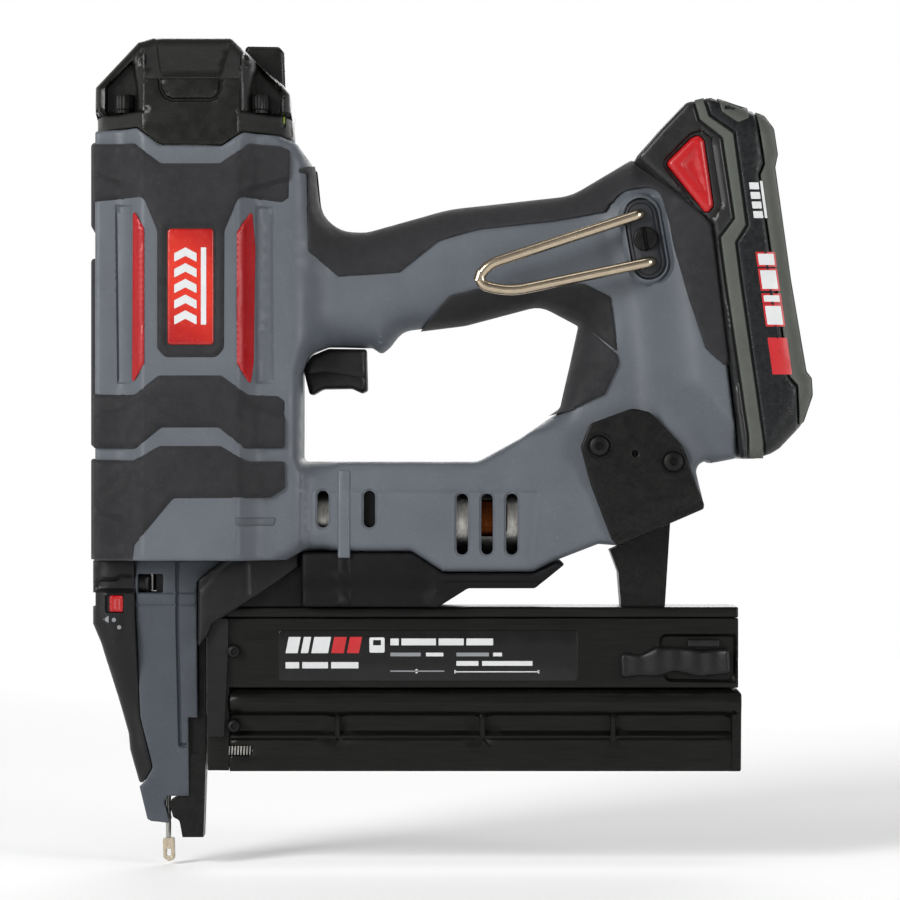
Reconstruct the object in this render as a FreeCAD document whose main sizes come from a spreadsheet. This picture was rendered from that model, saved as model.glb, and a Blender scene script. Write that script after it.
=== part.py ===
"""Cordless 18-gauge brad nailer, as an assembly of separate pieces.

Millimetres.  +Z is up and the nose points down, +X runs from the barrel to the battery, and the
mid-plane is Y = 0.  The origin is the centre of the grip.  The tool's left side is its -Y side.
"""

import FreeCAD
import Part
import Sketcher
import math
import os

V = FreeCAD.Vector

document = FreeCAD.newDocument("brad_nailer")

# Driving dimensions.  A name that ends in _x or _z is a place, and every other one is a size.
DIMENSIONS = {
    # housing
    "wall": 2.6,
    "barrel_x": -101.6,
    "barrel_across_x": 36.4,
    "barrel_across_y": 36.4,
    "barrel_flat": 18,
    "barrel_bottom_z": -112,
    "barrel_top_z": 46,
    "handle_half": 17,
    "web_half": 28,
    "seat_half": 34.5,
    "arm_half": 23.4,
    "rubber": 1.6,
    # cap
    "cap_top_z": 88.5,
    "cap_half": 36,
    "cap_bolt_reach": 25.5,
    "cap_bolt_radius": 4,
    "cap_bolt_seat_z": 57.5,
    # air spring
    "vessel_radius": 33,
    "vessel_wall": 2,
    "vessel_bottom_z": -81,
    "vessel_top_z": 66,
    "cylinder_radius": 21,
    "cylinder_bore": 19.2,
    "cylinder_bottom_z": -76.9,
    "cylinder_top_z": 36,
    "bumper_top_z": -65.4,
    "blade_hole": 13.6,
    "piston_radius": 19.1,
    "piston_bottom_z": 20,
    "piston_height": 11,
    # driver and lifter
    "driver_half": 1.5,
    "driver_tip_z": -134,
    "lifter_z": -96,
    "lifter_reach": 9,
    "lifter_pin": 1.5,
    "lifter_pins": 6,
    "tooth_width": 3.9,
    "driver_teeth": 10,
    # motor and gearbox
    "motor_radius": 18.4,
    "motor_wall": 1.5,
    "motor_start_x": -40,
    "motor_end_x": 22,
    "gear_module": 0.6,
    "sun_teeth": 12,
    "planet_teeth": 15,
    "ring_teeth": 42,
    "gear_start_x": -61.4,
    "gear_end_x": -52.6,
    # nose
    "nose_half": 6.5,
    "nose_tip_z": -218.5,
    "depth_x": -120.2,
    "front_cover_half": 15.5,
    "nose_cover_half": 13.5,
    "nose_low_half": 8,
    "wire_radius": 1,
    "wire_x": -112.2,
    # magazine
    "magazine_start_x": -95.2,
    "magazine_end_x": 105,
    "magazine_top_z": -130,
    "magazine_split_z": -160.8,
    "magazine_bottom_z": -192,
    "magazine_half": 13,
    "strip_end_x": 38,
    "brad_top_z": -136,
    "brad_length": 55,
    "brad_width": 1.2,
    "latch_x": 91,
    # belt hook
    "hook_wire": 2.0,
    "hook_x": 70,
    "hook_z": 9.8,
    "hook_depth": 29,
    "hook_screw": 2.5,
    # bracket
    "bracket_inner": 23.6,
    "bracket_sheet": 2.2,
    "bracket_bolt": 2.1,
    # trigger
    "pivot_x": -56.6,
    "pivot_z": -39.6,
    # battery
    "battery_half": 38,
    "cell_radius": 9.2,
    "cell_length": 65,
}

sheet = document.addObject("Spreadsheet::Sheet", "dims")
for row, (alias, number) in enumerate(DIMENSIONS.items(), start=1):
    sheet.set(f"A{row}", alias)
    sheet.set(f"B{row}", str(number))
    sheet.setAlias(f"B{row}", alias)
document.recompute()


def size(alias):
    """The number that the sheet holds under an alias."""
    return float(sheet.get(alias))


def rounded(points):
    """Edges of a closed outline of (a, b) or (a, b, radius) corners, each radius a tangent arc."""
    corners = [(V(p[0], p[1], 0), p[2] if len(p) > 2 else 0.0) for p in points]
    cuts = []
    for index, (here, radius) in enumerate(corners):
        before = (corners[index - 1][0] - here).normalize()
        after = (corners[(index + 1) % len(corners)][0] - here).normalize()
        if radius <= 0:
            cuts.append((here, None, here))
            continue
        half = before.getAngle(after) / 2
        reach = radius / math.tan(half)
        middle = (before + after).normalize() * (radius / math.sin(half) - radius)
        cuts.append((here + before * reach, here + middle, here + after * reach))
    edges = []
    for index, (start, middle, end) in enumerate(cuts):
        if middle is not None:
            edges.append(Part.Arc(start, middle, end))
        following = cuts[(index + 1) % len(cuts)][0]
        if (following - end).Length > 1e-6:
            edges.append(Part.LineSegment(end, following))
    return edges


def inset(points, gap):
    """The same outline moved in by a wall; corners keep their centres."""
    area = sum(p[0] * q[1] - q[0] * p[1] for p, q in zip(points, points[1:] + points[:1]))
    turn = 1 if area > 0 else -1
    moved = []
    for index, point in enumerate(points):
        here = V(point[0], point[1], 0)
        before = V(*points[index - 1][:2], 0)
        after = V(*points[(index + 1) % len(points)][:2], 0)
        first = (here - before).normalize()
        second = (after - here).normalize()
        normal_a = V(-first.y, first.x, 0) * turn
        normal_b = V(-second.y, second.x, 0) * turn
        bisector = normal_a + normal_b
        shift = bisector * (gap / (1 + normal_a.dot(normal_b)))
        convex = first.cross(second).z * turn > 0
        radius = point[2] if len(point) > 2 else 0
        radius = max(radius - gap, 0) if convex else (radius + gap if radius else 0)
        moved.append((here.x + shift.x, here.y + shift.y, radius))
    return moved


def box(a_low, a_high, b_low, b_high, radius=0):
    """A rectangle, as an outline."""
    return [(a_low, b_low, radius), (a_high, b_low, radius), (a_high, b_high, radius),
            (a_low, b_high, radius)]


class Circle:
    """A circle in a sketch whose radius is bound to the sheet."""

    def __init__(self, a, b, radius):
        self.centre = V(a, b, 0)
        self.radius = radius


pieces = {}


class Piece:
    """One sub-part: a PartDesign body whose pads, pockets and turnings are added in order."""

    def __init__(self, label):
        self.label = label
        self.body = document.addObject("PartDesign::Body", label)
        self.body.Label = label
        self.steps = []
        pieces[label] = self

    def sketch(self, plane, shapes, offset):
        """A sketch on one of the body's own origin planes, moved along the plane's normal."""
        sketch = self.body.newObject("Sketcher::SketchObject", f"{self.label}_sketch")
        support = [f for f in self.body.Origin.OriginFeatures if f.Role == plane + "_Plane"][0]
        sketch.AttachmentSupport = [(support, "")]
        sketch.MapMode = "FlatFace"
        sketch.setExpression("AttachmentOffset.Base.z", offset)
        for shape in shapes:
            if isinstance(shape, Circle):
                index = sketch.addGeometry(Part.Circle(shape.centre, V(0, 0, 1), 1.0), False)
                row = sketch.addConstraint(Sketcher.Constraint("Radius", index, 1.0))
                sketch.setExpression(f"Constraints[{row}]", shape.radius)
            else:
                sketch.addGeometry(rounded(shape), False)
        return sketch

    def feature(self, kind, plane, shapes, start, end):
        """A prism of the shapes between two heights along the plane's normal."""
        sketch = self.sketch(plane, shapes, start)
        feature = self.body.newObject(f"PartDesign::{kind}", f"{self.label}_{kind.lower()}")
        feature.Profile = sketch
        feature.setExpression("Length", f"({end}) - ({start})")
        feature.Reversed = kind == "Pocket"
        feature.Refine = False
        self.body.Tip = feature
        self.steps.append((feature, kind == "Pad"))
        return self

    def pad(self, plane, shapes, start, end):
        return self.feature("Pad", plane, shapes, start, end)

    def pocket(self, plane, shapes, start, end):
        return self.feature("Pocket", plane, shapes, start, end)

    def turn(self, plane, shapes, axis, base=(0, 0, 0)):
        """A full turning of the shapes about the sketch's own axis, H_Axis or V_Axis."""
        sketch = self.sketch(plane, shapes, "0")
        sketch.AttachmentOffset = FreeCAD.Placement(V(*base), FreeCAD.Rotation())
        feature = self.body.newObject("PartDesign::Revolution", f"{self.label}_turning")
        feature.Profile = sketch
        feature.ReferenceAxis = (sketch, [axis])
        feature.Angle = 360
        self.body.Tip = feature
        self.steps.append((feature, True))
        return self

    def check(self):
        """Every pad must add volume and every pocket must take some away."""
        volume = 0
        for feature, adds in self.steps:
            change = feature.Shape.Volume - volume
            volume = feature.Shape.Volume
            if (change > 0) != adds or abs(change) < 0.01:
                raise RuntimeError(f"{feature.Name} of {self.label} changed the volume by {change}")
        if self.body.Shape.isNull() or not self.body.Shape.isValid():
            raise RuntimeError(f"{self.label} has no valid shape")


class MirroredPiece(Piece):
    """The right-hand twin of a left-hand piece, mirrored in the mid-plane."""

    def __init__(self, label, source):
        self.label = label
        self.body = document.addObject("Part::Mirroring", label)
        self.body.Label = label
        self.body.Source = source.body
        self.body.Normal = V(0, 1, 0)
        self.steps = []
        pieces[label] = self


def side_pad(piece, side, shapes, start, end):
    """A pad from the mid-plane outwards, towards -Y for side 1 and towards +Y for side -1."""
    if side > 0:
        return piece.pad("XZ", shapes, start, end)
    return piece.pad("XZ", shapes, f"-({end})", f"-({start})")


def side_pocket(piece, side, shapes, start, end):
    """A pocket between two distances from the mid-plane, on the side's own half."""
    if side > 0:
        return piece.pocket("XZ", shapes, start, end)
    return piece.pocket("XZ", shapes, f"-({end})", f"-({start})")


SIDES = (1, -1)
BARREL_X = size("barrel_x")


def barrel_section(grow=0.0, side=0):
    """The barrel's eight-sided section in plan, whole or one side's half."""
    across_x = size("barrel_across_x") + grow
    across_y = size("barrel_across_y") + grow
    flat = size("barrel_flat") + grow * 0.4
    low, high = BARREL_X - across_x, BARREL_X + across_x
    corner = 4 + grow
    if side == 0:
        return [
            (low, -flat, corner), (BARREL_X - flat, -across_y, corner),
            (BARREL_X + flat, -across_y, corner), (high, -flat, corner),
            (high, flat, corner), (BARREL_X + flat, across_y, corner),
            (BARREL_X - flat, across_y, corner), (low, flat, corner),
        ]
    out = -side
    return [
        (low, 0), (low, out * flat, corner), (BARREL_X - flat, out * across_y, corner),
        (BARREL_X + flat, out * across_y, corner), (high, out * flat, corner), (high, 0),
    ]


# Side outlines of the housing, as (x, z, corner radius).
D_OPENING = [
    (-60.5, -74.5, 2), (-60.5, -41, 2), (-57.5, -33, 4), (-50.5, -30.6, 2), (-33.5, -31, 1.5),
    (-30, -33.4, 2), (-26.6, -30.5, 3), (-22, -24.5, 8), (2, -21.5, 20), (31, -13.8, 12),
    (46.5, -22, 2), (39.5, -54.5, 4), (23.5, -65.5, 12), (7, -74.6, 8),
]
FRAME = [
    (-76, 46), (-66, 46), (-62.4, 45.6, 3), (-56.2, 37.5, 6), (-53.5, 13.4, 14), (-36, 12.6, 14),
    (-4, 21.6, 60), (43, 26.8, 24), (66, 40.5, 1), (94, 14.5, 2), (105, -73.2, 2), (96, -75, 2),
    (87.5, -69, 4), (93.5, -92.4, 2), (60, -107, 2), (52.5, -106, 2), (36.5, -112, 2),
    (28, -116.4, 2), (-6.5, -116.4, 2), (-18.5, -108.6, 2), (-60, -108.6, 2), (-64, -111.6),
    (-76, -111.6),
]
SEAT = [
    (77, 29.6, 3), (94, 14.5, 2), (105, -73.2, 2), (96, -75, 2), (87.5, -69, 4), (84, -66, 4),
    (80, -44, 6), (81.4, -6, 10), (81.4, 16, 6),
]
WEB = [(-78, 45), (-70, 45), (-62.8, 44, 4), (-57.6, 30, 6), (-57.6, -30, 4), (-60.5, -111.6),
       (-78, -111.6)]
ARM = [
    (-66, -74.5), (7, -74.6, 8), (23.5, -65.5, 12), (39.5, -54.5, 4), (82, -64, 4), (87.5, -71, 4),
    (92.8, -91.6, 2), (60, -106.8, 2), (52.5, -105.8, 2), (36.5, -111.8, 2), (28, -116.2, 2),
    (-6.5, -116.2, 2), (-18.5, -108.4, 2), (-66, -108.4),
]
ARM_LOW = box(-61, 28, -116.4, -107)
GRIP_ROOM = [
    (-50, 10, 2), (-20, 15.5, 20), (40, 22, 10), (64, 34, 4), (88, 12, 4), (97, -62, 4), (90, -62, 4),
    (62, -20, 6), (40, -11, 10), (5, -18, 20), (-23, -22, 4), (-52, -22, 2),
]
DRIVE_ROOM = [
    (-132.8, -200), (-132.8, -81), (-70, -81), (-70, -76.8), (34, -76.8), (34, -114.8), (-61, -114.8),
    (-61, -200),
]
BRACKET_BOLTS = [(52, -68.3), (81.2, -74.2)]
ARM_SLOTS = [(-52, -92.5, 7), (-34.4, -92.5, 7), (0.8, -98.2, 11.6), (10.2, -98.2, 11.6),
             (19.6, -98.2, 11.6)]


def slot_outline(x, z, reach):
    """An upright slot with round ends."""
    half = 2.2
    return box(x - half, x + half, z - reach, z + reach, half - 0.01)


def housing():
    """The left moulded half of the body: barrel, handle, battery seat, strut and motor arm."""
    side = 1
    piece = Piece("housing_left")
    piece.pad("XY", [barrel_section(0, side)], "dims.barrel_bottom_z", "dims.barrel_top_z")
    side_pad(piece, side, [FRAME, D_OPENING], "0", "dims.handle_half")
    side_pad(piece, side, [WEB], "0", "dims.web_half")
    side_pad(piece, side, [SEAT], "0", "dims.seat_half")
    side_pad(piece, side, [ARM], "0", "dims.arm_half")
    side_pad(piece, side, [ARM_LOW], "0", "dims.arm_half - 2.6")
    # rooms for the air spring, the drive, the motor, the electronics and the trigger
    vessel = Circle(BARREL_X, 0, "dims.vessel_radius + 0.4")
    piece.pocket("XY", [vessel], "dims.vessel_bottom_z - 0.4", "dims.barrel_top_z + 10")
    side_pocket(piece, side, [DRIVE_ROOM], "-1", "dims.motor_radius + 0.4")
    side_pocket(piece, side, [GRIP_ROOM], "-1", "dims.handle_half - dims.wall")
    side_pocket(piece, side, [box(-60.2, -34.2, -60, -21.5)], "-1", "8.4")
    # screw and vent holes
    side_pocket(piece, side, [slot_outline(*slot) for slot in ARM_SLOTS], "-1", "60")
    side_pocket(piece, side, [Circle(x, z, "dims.bracket_bolt + 0.1") for x, z in BRACKET_BOLTS], "8",
                "60")
    side_pocket(piece, side, [Circle(size("hook_x"), size("hook_z"), "dims.hook_screw")], "8", "60")
    return piece


def barrel_grip():
    """Rubber moulded over the left side of the barrel: a panel round the badge and two bands."""
    side = 1
    piece = Piece("barrel_grip_left")
    outer = barrel_section(size("rubber"), side)
    inner = barrel_section(0, side)
    low, high = inner[0][0], inner[-1][0]
    ring = [(low - size("rubber"), 0)] + outer[1:-1] + [(high + size("rubber"), 0), (high, 0)]
    ring += [corner for corner in reversed(inner[1:-1])] + [(low, 0)]
    piece.pad("XY", [ring], "dims.barrel_bottom_z", "dims.barrel_top_z")
    frame = box(-170, -30, -130, 60)
    piece.pocket("XZ", [frame, UPPER_PANEL, BADGE, MIDDLE_BAND, LOWER_BAND], "-60", "60")
    return piece


UPPER_PANEL = [
    (-132.5, 46, 2), (-122.5, 46, 4), (-112.4, 37.8, 3), (-90.6, 37.8, 3), (-80.5, 45.6, 2),
    (-76.2, 45.6, 1), (-76.2, 25, 1), (-84, 25.2, 4), (-89, 12.4, 4), (-89, -32, 4), (-92, -35.6, 4),
    (-111, -35.6, 4), (-114, -32, 4), (-114, 12.4, 4), (-119, 25.2, 4), (-132.5, 24.5, 4),
]
BADGE = box(-110.4, -92.4, -31, 13.5, 2)
MIDDLE_BAND = [
    (-134, -49.3, 1), (-122.5, -49.3, 4), (-113.4, -42.2, 3), (-89.8, -42.2, 3), (-80.4, -49.3, 2),
    (-76.2, -49.3, 2), (-76.2, -69.6, 1), (-81, -69.6, 2), (-90.8, -62, 4), (-112.2, -62, 4),
    (-121.8, -69.6, 4), (-134, -69.6, 1),
]
LOWER_BAND = [
    (-134, -74, 1), (-123.2, -74, 4), (-113, -68.6, 4), (-90, -68.6, 4), (-79.8, -74.2, 2),
    (-76.2, -74.2, 1), (-76.2, -86, 1), (-78, -88.2, 1), (-107.6, -88.2, 4), (-122.6, -106, 3),
    (-123, -111), (-134, -111),
]


def front_bumper():
    """Three rubber strips on the front of the barrel."""
    piece = Piece("front_bumper")
    outer = BARREL_X - size("barrel_across_x") - size("rubber")
    inner = BARREL_X - size("barrel_across_x")
    strips = [
        [(outer, 45, 1), (inner, 45), (inner, 9), (outer, 13, 1)],
        [(outer, 3, 1), (inner, 3), (inner, -68.6), (outer, -68.6, 1)],
        [(outer, -73.6, 1), (inner, -73.6), (inner, -111), (outer, -111, 1)],
    ]
    piece.pad("XZ", strips, "-dims.barrel_flat + 1", "dims.barrel_flat - 1")
    return piece


def accent_strips():
    """The long coloured inlays on both sides of the barrel."""
    piece = Piece("accent_strips")
    front = [(-123.4, 20.5, 1), (-118.8, 13, 1), (-118.8, -37.6, 1), (-123.4, -45.4, 1)]
    rear = [(2 * BARREL_X - x, z, r) for x, z, r in front]
    for start, end in (("dims.barrel_across_y", "dims.barrel_across_y + 1"),
                       ("-dims.barrel_across_y - 1", "-dims.barrel_across_y")):
        piece.pad("XZ", [front_flat(front), front_flat(rear)], start, end)
    return piece


def front_flat(outline):
    """The part of an inlay's outline that lies on the flat side of the barrel."""
    low = BARREL_X - size("barrel_flat") + 0.5
    high = BARREL_X + size("barrel_flat") - 0.5
    return [(min(max(x, low), high), z, 0) for x, z, _ in outline]


def badges():
    """A plain plate on each side, set in the window of the upper rubber panel."""
    piece = Piece("badges")
    for side in SIDES:
        side_pad(piece, side, [inset(BADGE, 0.3)], "dims.barrel_across_y", "dims.barrel_across_y + 1.2")
    return piece


HANDLE_GRIP = [
    (-55.8, 33, 2), (-53.9, 13.6, 13.7), (-36, 12.9, 14.3), (-4, 21.9, 60), (43, 27.1, 24),
    (64, 38.5, 2),
    (56, 20, 3), (34.5, 16, 6), (7, 13, 6), (-8.5, 8.5, 4), (-23, -3, 4), (-46, -4.5, 4), (-55.2, 4, 3),
]
LOW_GRIP = [
    (-13.5, -23, 1), (-4, -11.5, 4), (8, -9, 4), (46.5, -7, 4), (57, -12, 3), (60, -34, 3),
    (46.6, -22.6), (31, -14.4, 12), (2, -22, 20),
]
STRUT_GRIP = [(47, -23, 1), (60, -35, 2), (58, -42, 2), (54, -50, 3), (40.6, -55, 1)]
SEAT_GRIP = [
    (72.8, 32, 2), (93, 13.5, 2), (99.6, -38.5, 2), (96.5, -38.5, 3), (90, -33, 4), (79, 4, 4),
]


def grip_rubber():
    """Rubber moulded over the handle, the strut and the battery seat, on both sides."""
    piece = Piece("grip_rubber")
    for outline, height in ((HANDLE_GRIP, "dims.handle_half"), (LOW_GRIP, "dims.handle_half"),
                            (STRUT_GRIP, "dims.handle_half"), (SEAT_GRIP, "dims.seat_half")):
        for side in SIDES:
            side_pad(piece, side, [outline], height, f"{height} + dims.rubber")
    return piece


CAP_SIDE = [
    (-138.6, 40), (-138.6, 68.5, 3), (-121.5, 88.5, 4), (-83.5, 88.5, 4), (-66, 70, 3), (-64, 62, 3),
    (-64, 40),
]


def top_cap():
    """The cap over the pressure vessel, chamfered all round, with a pocket at each bolt."""
    piece = Piece("top_cap")
    half = size("cap_half")
    piece.pad("XY", [barrel_section(-0.5)], "dims.barrel_top_z + 0.1", "dims.cap_top_z")
    piece.pocket("XZ", [box(-200, 0, 30, 120), CAP_SIDE], "-60", "60")
    front = [(-half, 40), (-half, 68, 3), (-half + 19, 88.5, 4), (half - 19, 88.5, 4), (half, 68, 3),
             (half, 40)]
    piece.pocket("YZ", [box(-70, 70, 30, 120), front], "-200", "0")
    piece.pocket("XY", [Circle(BARREL_X, 0, "dims.vessel_radius + 0.4")], "0",
                 "dims.vessel_top_z + 0.4")
    reach = size("cap_bolt_reach")
    corners = [(BARREL_X + a * reach, b * reach) for a in (-1, 1) for b in (-1, 1)]
    seats = [Circle(x, y, "dims.cap_bolt_radius + 2.6") for x, y in corners]
    piece.pocket("XY", seats, "dims.cap_bolt_seat_z", "120")
    # the raised box over the charging valve
    port = [(-84, 76), (-82, 86.2, 1), (-68.4, 86.2, 2), (-66.4, 84, 1), (-65.8, 66)]
    piece.pad("XZ", [port], "-9", "9")
    return piece


def cap_bolts():
    """Four socket-head bolts in the corners of the cap."""
    piece = Piece("cap_bolts")
    reach = size("cap_bolt_reach")
    places = [(BARREL_X + a * reach, b * reach) for a in (-1, 1) for b in (-1, 1)]
    piece.pad("XY", [Circle(x, y, "dims.cap_bolt_radius") for x, y in places],
              "dims.cap_bolt_seat_z", "dims.cap_bolt_seat_z + 7")
    sockets = [[(x + 2 * math.cos(math.radians(60 * k)),
                 y + 2 * math.sin(math.radians(60 * k))) for k in range(6)]
               for x, y in places]
    piece.pocket("XY", sockets, "dims.cap_bolt_seat_z + 3.5", "80")
    return piece


def pressure_vessel():
    """A thin cup that holds the compressed gas round the cylinder."""
    piece = Piece("pressure_vessel")
    radius = size("vessel_radius")
    wall = size("vessel_wall")
    low, high = size("vessel_bottom_z"), size("vessel_top_z")
    hole = size("blade_hole")
    profile = [
        (hole, low), (radius, low), (radius, high, 15), (0, high), (0, high - wall),
        (radius - wall, high - wall, 13), (radius - wall, low + wall + 2), (hole, low + wall + 2),
    ]
    piece.turn("XZ", [profile], "V_Axis", (BARREL_X, 0, 0))
    return piece


def cylinder():
    """The open-topped tube that the piston runs in."""
    piece = Piece("cylinder")
    piece.pad("XY", [Circle(BARREL_X, 0, "dims.cylinder_radius"),
                     Circle(BARREL_X, 0, "dims.cylinder_bore")],
              "dims.cylinder_bottom_z", "dims.cylinder_top_z")
    return piece


def bumper():
    """The rubber ring that stops the piston."""
    piece = Piece("bumper")
    piece.pad("XY", [Circle(BARREL_X, 0, "dims.cylinder_bore - 0.2"),
                     Circle(BARREL_X, 0, "dims.blade_hole")],
              "dims.cylinder_bottom_z", "dims.bumper_top_z")
    return piece


def piston():
    """The piston, with a groove for its seal."""
    piece = Piece("piston")
    radius = size("piston_radius")
    low = size("piston_bottom_z")
    high = low + size("piston_height")
    groove = radius - 2.2
    profile = [
        (0, low), (radius - 0.6, low), (radius - 0.6, low + 4), (groove, low + 4), (groove, low + 7),
        (radius - 0.6, low + 7), (radius - 0.6, high, 0.5), (7, high), (5, high - 4, 2), (0, high - 4),
    ]
    piece.turn("XZ", [profile], "V_Axis", (BARREL_X, 0, 0))
    return piece


def piston_seal():
    """The seal ring in the piston's groove."""
    piece = Piece("piston_seal")
    radius = size("piston_radius")
    low = size("piston_bottom_z") + 4
    profile = [(radius - 2.2, low), (radius, low + 0.6, 0.4), (radius, low + 2.4, 0.4),
               (radius - 2.2, low + 3)]
    piece.turn("XZ", [profile], "V_Axis", (BARREL_X, 0, 0))
    return piece


def driver_blade():
    """The flat driver: a wide rack that the lifter raises, and the thin blade that strikes a brad."""
    piece = Piece("driver_blade")
    lifter_z = size("lifter_z")
    rack_low = lifter_z - 3.4
    pitch = 2 * math.pi * size("lifter_reach") / size("lifter_pins")
    piece.pad("YZ", [box(-3.5, 11.6, rack_low, size("piston_bottom_z"), 0)],
              "dims.barrel_x - dims.driver_half", "dims.barrel_x + dims.driver_half")
    half = size("tooth_width") / 2
    teeth = [box(7.2, 11.4, lifter_z + k * pitch - half, lifter_z + k * pitch + half, 0.6)
             for k in range(int(size("driver_teeth")))]
    piece.pad("YZ", teeth, "dims.barrel_x + dims.driver_half", "dims.barrel_x + dims.driver_half + 3.4")
    piece.pad("YZ", [box(-1.5, 1.5, size("driver_tip_z"), rack_low, 0)], "dims.barrel_x - 0.6",
              "dims.barrel_x + 0.6")
    return piece


def lifter():
    """The disc whose ring of pins engages the driver's rack, on its shaft."""
    piece = Piece("lifter")
    centre = (0, size("lifter_z"))
    face = "dims.barrel_x + dims.driver_half + 4"
    piece.pad("YZ", [Circle(*centre, "dims.lifter_reach + 3.4")], face, f"{face} + 4.5")
    piece.pad("YZ", [Circle(*centre, "5")], f"{face} + 4.5", "dims.gear_start_x - 4")
    reach = size("lifter_reach")
    turn = 2 * math.pi / size("lifter_pins")
    # A pin stands half a pitch from a tooth, so the lowest gap of the rack holds one.
    pins = [Circle(reach * math.cos((k + 0.5) * turn), centre[1] + reach * math.sin((k + 0.5) * turn),
                   "dims.lifter_pin") for k in range(int(size("lifter_pins")))]
    piece.pad("YZ", pins, "dims.barrel_x + dims.driver_half + 0.4", face)
    return piece


def gear_outline(teeth, centre, turned, internal=False):
    """Straight-sided teeth on a pitch circle; turned is the angle of one tooth in degrees."""
    module = size("gear_module")
    pitch_radius = module * teeth / 2
    tip = pitch_radius - 0.75 * module if internal else pitch_radius + 0.75 * module
    root = pitch_radius + 1.2 * module if internal else pitch_radius - 1.15 * module
    points = []
    for tooth in range(teeth):
        middle = math.radians(turned) + 2 * math.pi * tooth / teeth
        step = 2 * math.pi / teeth
        for radius, share in ((root, -0.31), (tip, -0.11), (tip, 0.11), (root, 0.31)):
            angle = middle + share * step
            points.append((centre[0] + radius * math.cos(angle), centre[1] + radius * math.sin(angle)))
    return points


def planet_places():
    """Centres of the three planets, in the plane of the gears."""
    reach = size("gear_module") * (size("sun_teeth") + size("planet_teeth")) / 2
    angles = [math.radians(120 * k) for k in range(3)]
    return [(reach * math.cos(a), size("lifter_z") + reach * math.sin(a)) for a in angles]


def planet_carrier():
    """The output disc of the gearbox, with a pin for each planet."""
    piece = Piece("planet_carrier")
    centre = (0, size("lifter_z"))
    piece.pad("YZ", [Circle(*centre, "11.4")], "dims.gear_start_x - 4", "dims.gear_start_x - 0.3")
    pins = [Circle(y, z, "1.5") for y, z in planet_places()]
    piece.pad("YZ", pins, "dims.gear_start_x - 0.3", "dims.gear_end_x + 1")
    return piece


def planets():
    """Three planet gears, one piece each."""
    for index, (y, z) in enumerate(planet_places()):
        piece = Piece(f"planet_{index + 1}")
        outline = gear_outline(int(size("planet_teeth")), (y, z), 120 * index)
        piece.pad("YZ", [outline, Circle(y, z, "1.55")], "dims.gear_start_x", "dims.gear_end_x")


def rotor():
    """The motor's turning part: shaft, sun gear, laminated core, commutator and fan."""
    piece = Piece("rotor")
    centre = (0, size("lifter_z"))
    sun = gear_outline(int(size("sun_teeth")), centre, 0)
    piece.pad("YZ", [sun], "dims.gear_start_x", "dims.gear_end_x + 4")
    piece.pad("YZ", [Circle(*centre, "2")], "dims.gear_end_x + 4", "27")
    piece.pad("YZ", [Circle(*centre, "12.5")], "-34", "4")
    piece.pad("YZ", [Circle(*centre, "5.5")], "4", "12")
    piece.pad("YZ", [Circle(*centre, "4")], "12", "19")
    blades = []
    for k in range(9):
        angle = 2 * math.pi * k / 9
        along = V(math.cos(angle), math.sin(angle), 0)
        across = V(-along.y, along.x, 0) * 0.6
        corners = (along * 3 - across, along * 14.5 - across, along * 14.5 + across, along * 3 + across)
        blades.append([(p.x, p.y + centre[1]) for p in corners])
    for blade in blades:
        piece.pad("YZ", [blade], "13", "18.5")
    return piece


def gearbox_case():
    """The metal gearbox tube with its ring gear and the bearing wall of the output shaft."""
    piece = Piece("gearbox_case")
    centre = (0, size("lifter_z"))
    start = "dims.gear_start_x - 6.6"
    piece.pad("YZ", [Circle(*centre, "17.4"), Circle(*centre, "15.4")], start,
              "dims.motor_start_x - 0.2")
    piece.pad("YZ", [Circle(*centre, "16"), Circle(*centre, "5.06")], start, "dims.gear_start_x - 4.3")
    ring = gear_outline(int(size("ring_teeth")), centre, 180 / size("ring_teeth"), internal=True)
    piece.pad("YZ", [Circle(*centre, "16"), ring], "dims.gear_start_x - 0.2", "dims.gear_end_x + 0.4")
    return piece


def motor_can():
    """The steel can of the motor, with vent windows and a front plate."""
    piece = Piece("motor_can")
    centre = (0, size("lifter_z"))
    piece.pad("YZ", [Circle(*centre, "dims.motor_radius"),
                     Circle(*centre, "dims.motor_radius - dims.motor_wall")],
              "dims.motor_start_x", "dims.motor_end_x")
    piece.pad("YZ", [Circle(*centre, "dims.motor_radius - 1"), Circle(*centre, "2.4")],
              "dims.motor_start_x", "dims.motor_start_x + 2")
    windows = [box(6, 18, centre[1] - 7, centre[1] + 7, 3)]
    piece.pocket("XZ", windows, "-30", "30")
    return piece


def motor_end_cap():
    """The moulded cap that closes the motor and holds its brushes."""
    piece = Piece("motor_end_cap")
    centre = (0, size("lifter_z"))
    piece.pad("YZ", [Circle(*centre, "dims.motor_radius - 0.4"), Circle(*centre, "2.1")],
              "dims.motor_end_x + 0.1", "dims.motor_end_x + 7")
    return piece


TRIGGER = [
    (-60, -39.5, 2), (-57.2, -34, 4), (-50.5, -31.2, 3), (-35.6, -31.4, 1), (-35.6, -47.8, 1),
    (-37.6, -48.2, 1),
    (-41.5, -46.4, 3), (-52.5, -46.6, 4), (-57.5, -49.8, 1.5),
]


def trigger():
    """The trigger, on a pivot at its front end."""
    piece = Piece("trigger")
    piece.pad("XZ", [TRIGGER, Circle(size("pivot_x"), size("pivot_z"), "1.55")], "-7.6", "7.6")
    piece.pad("XZ", [box(-48, -40, -33, -26.5, 1)], "-4", "4")
    return piece


def trigger_pin():
    """The steel pin that the trigger turns on."""
    piece = Piece("trigger_pin")
    piece.pad("XZ", [Circle(size("pivot_x"), size("pivot_z"), "1.5")], "-8.3", "8.3")
    return piece


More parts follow.
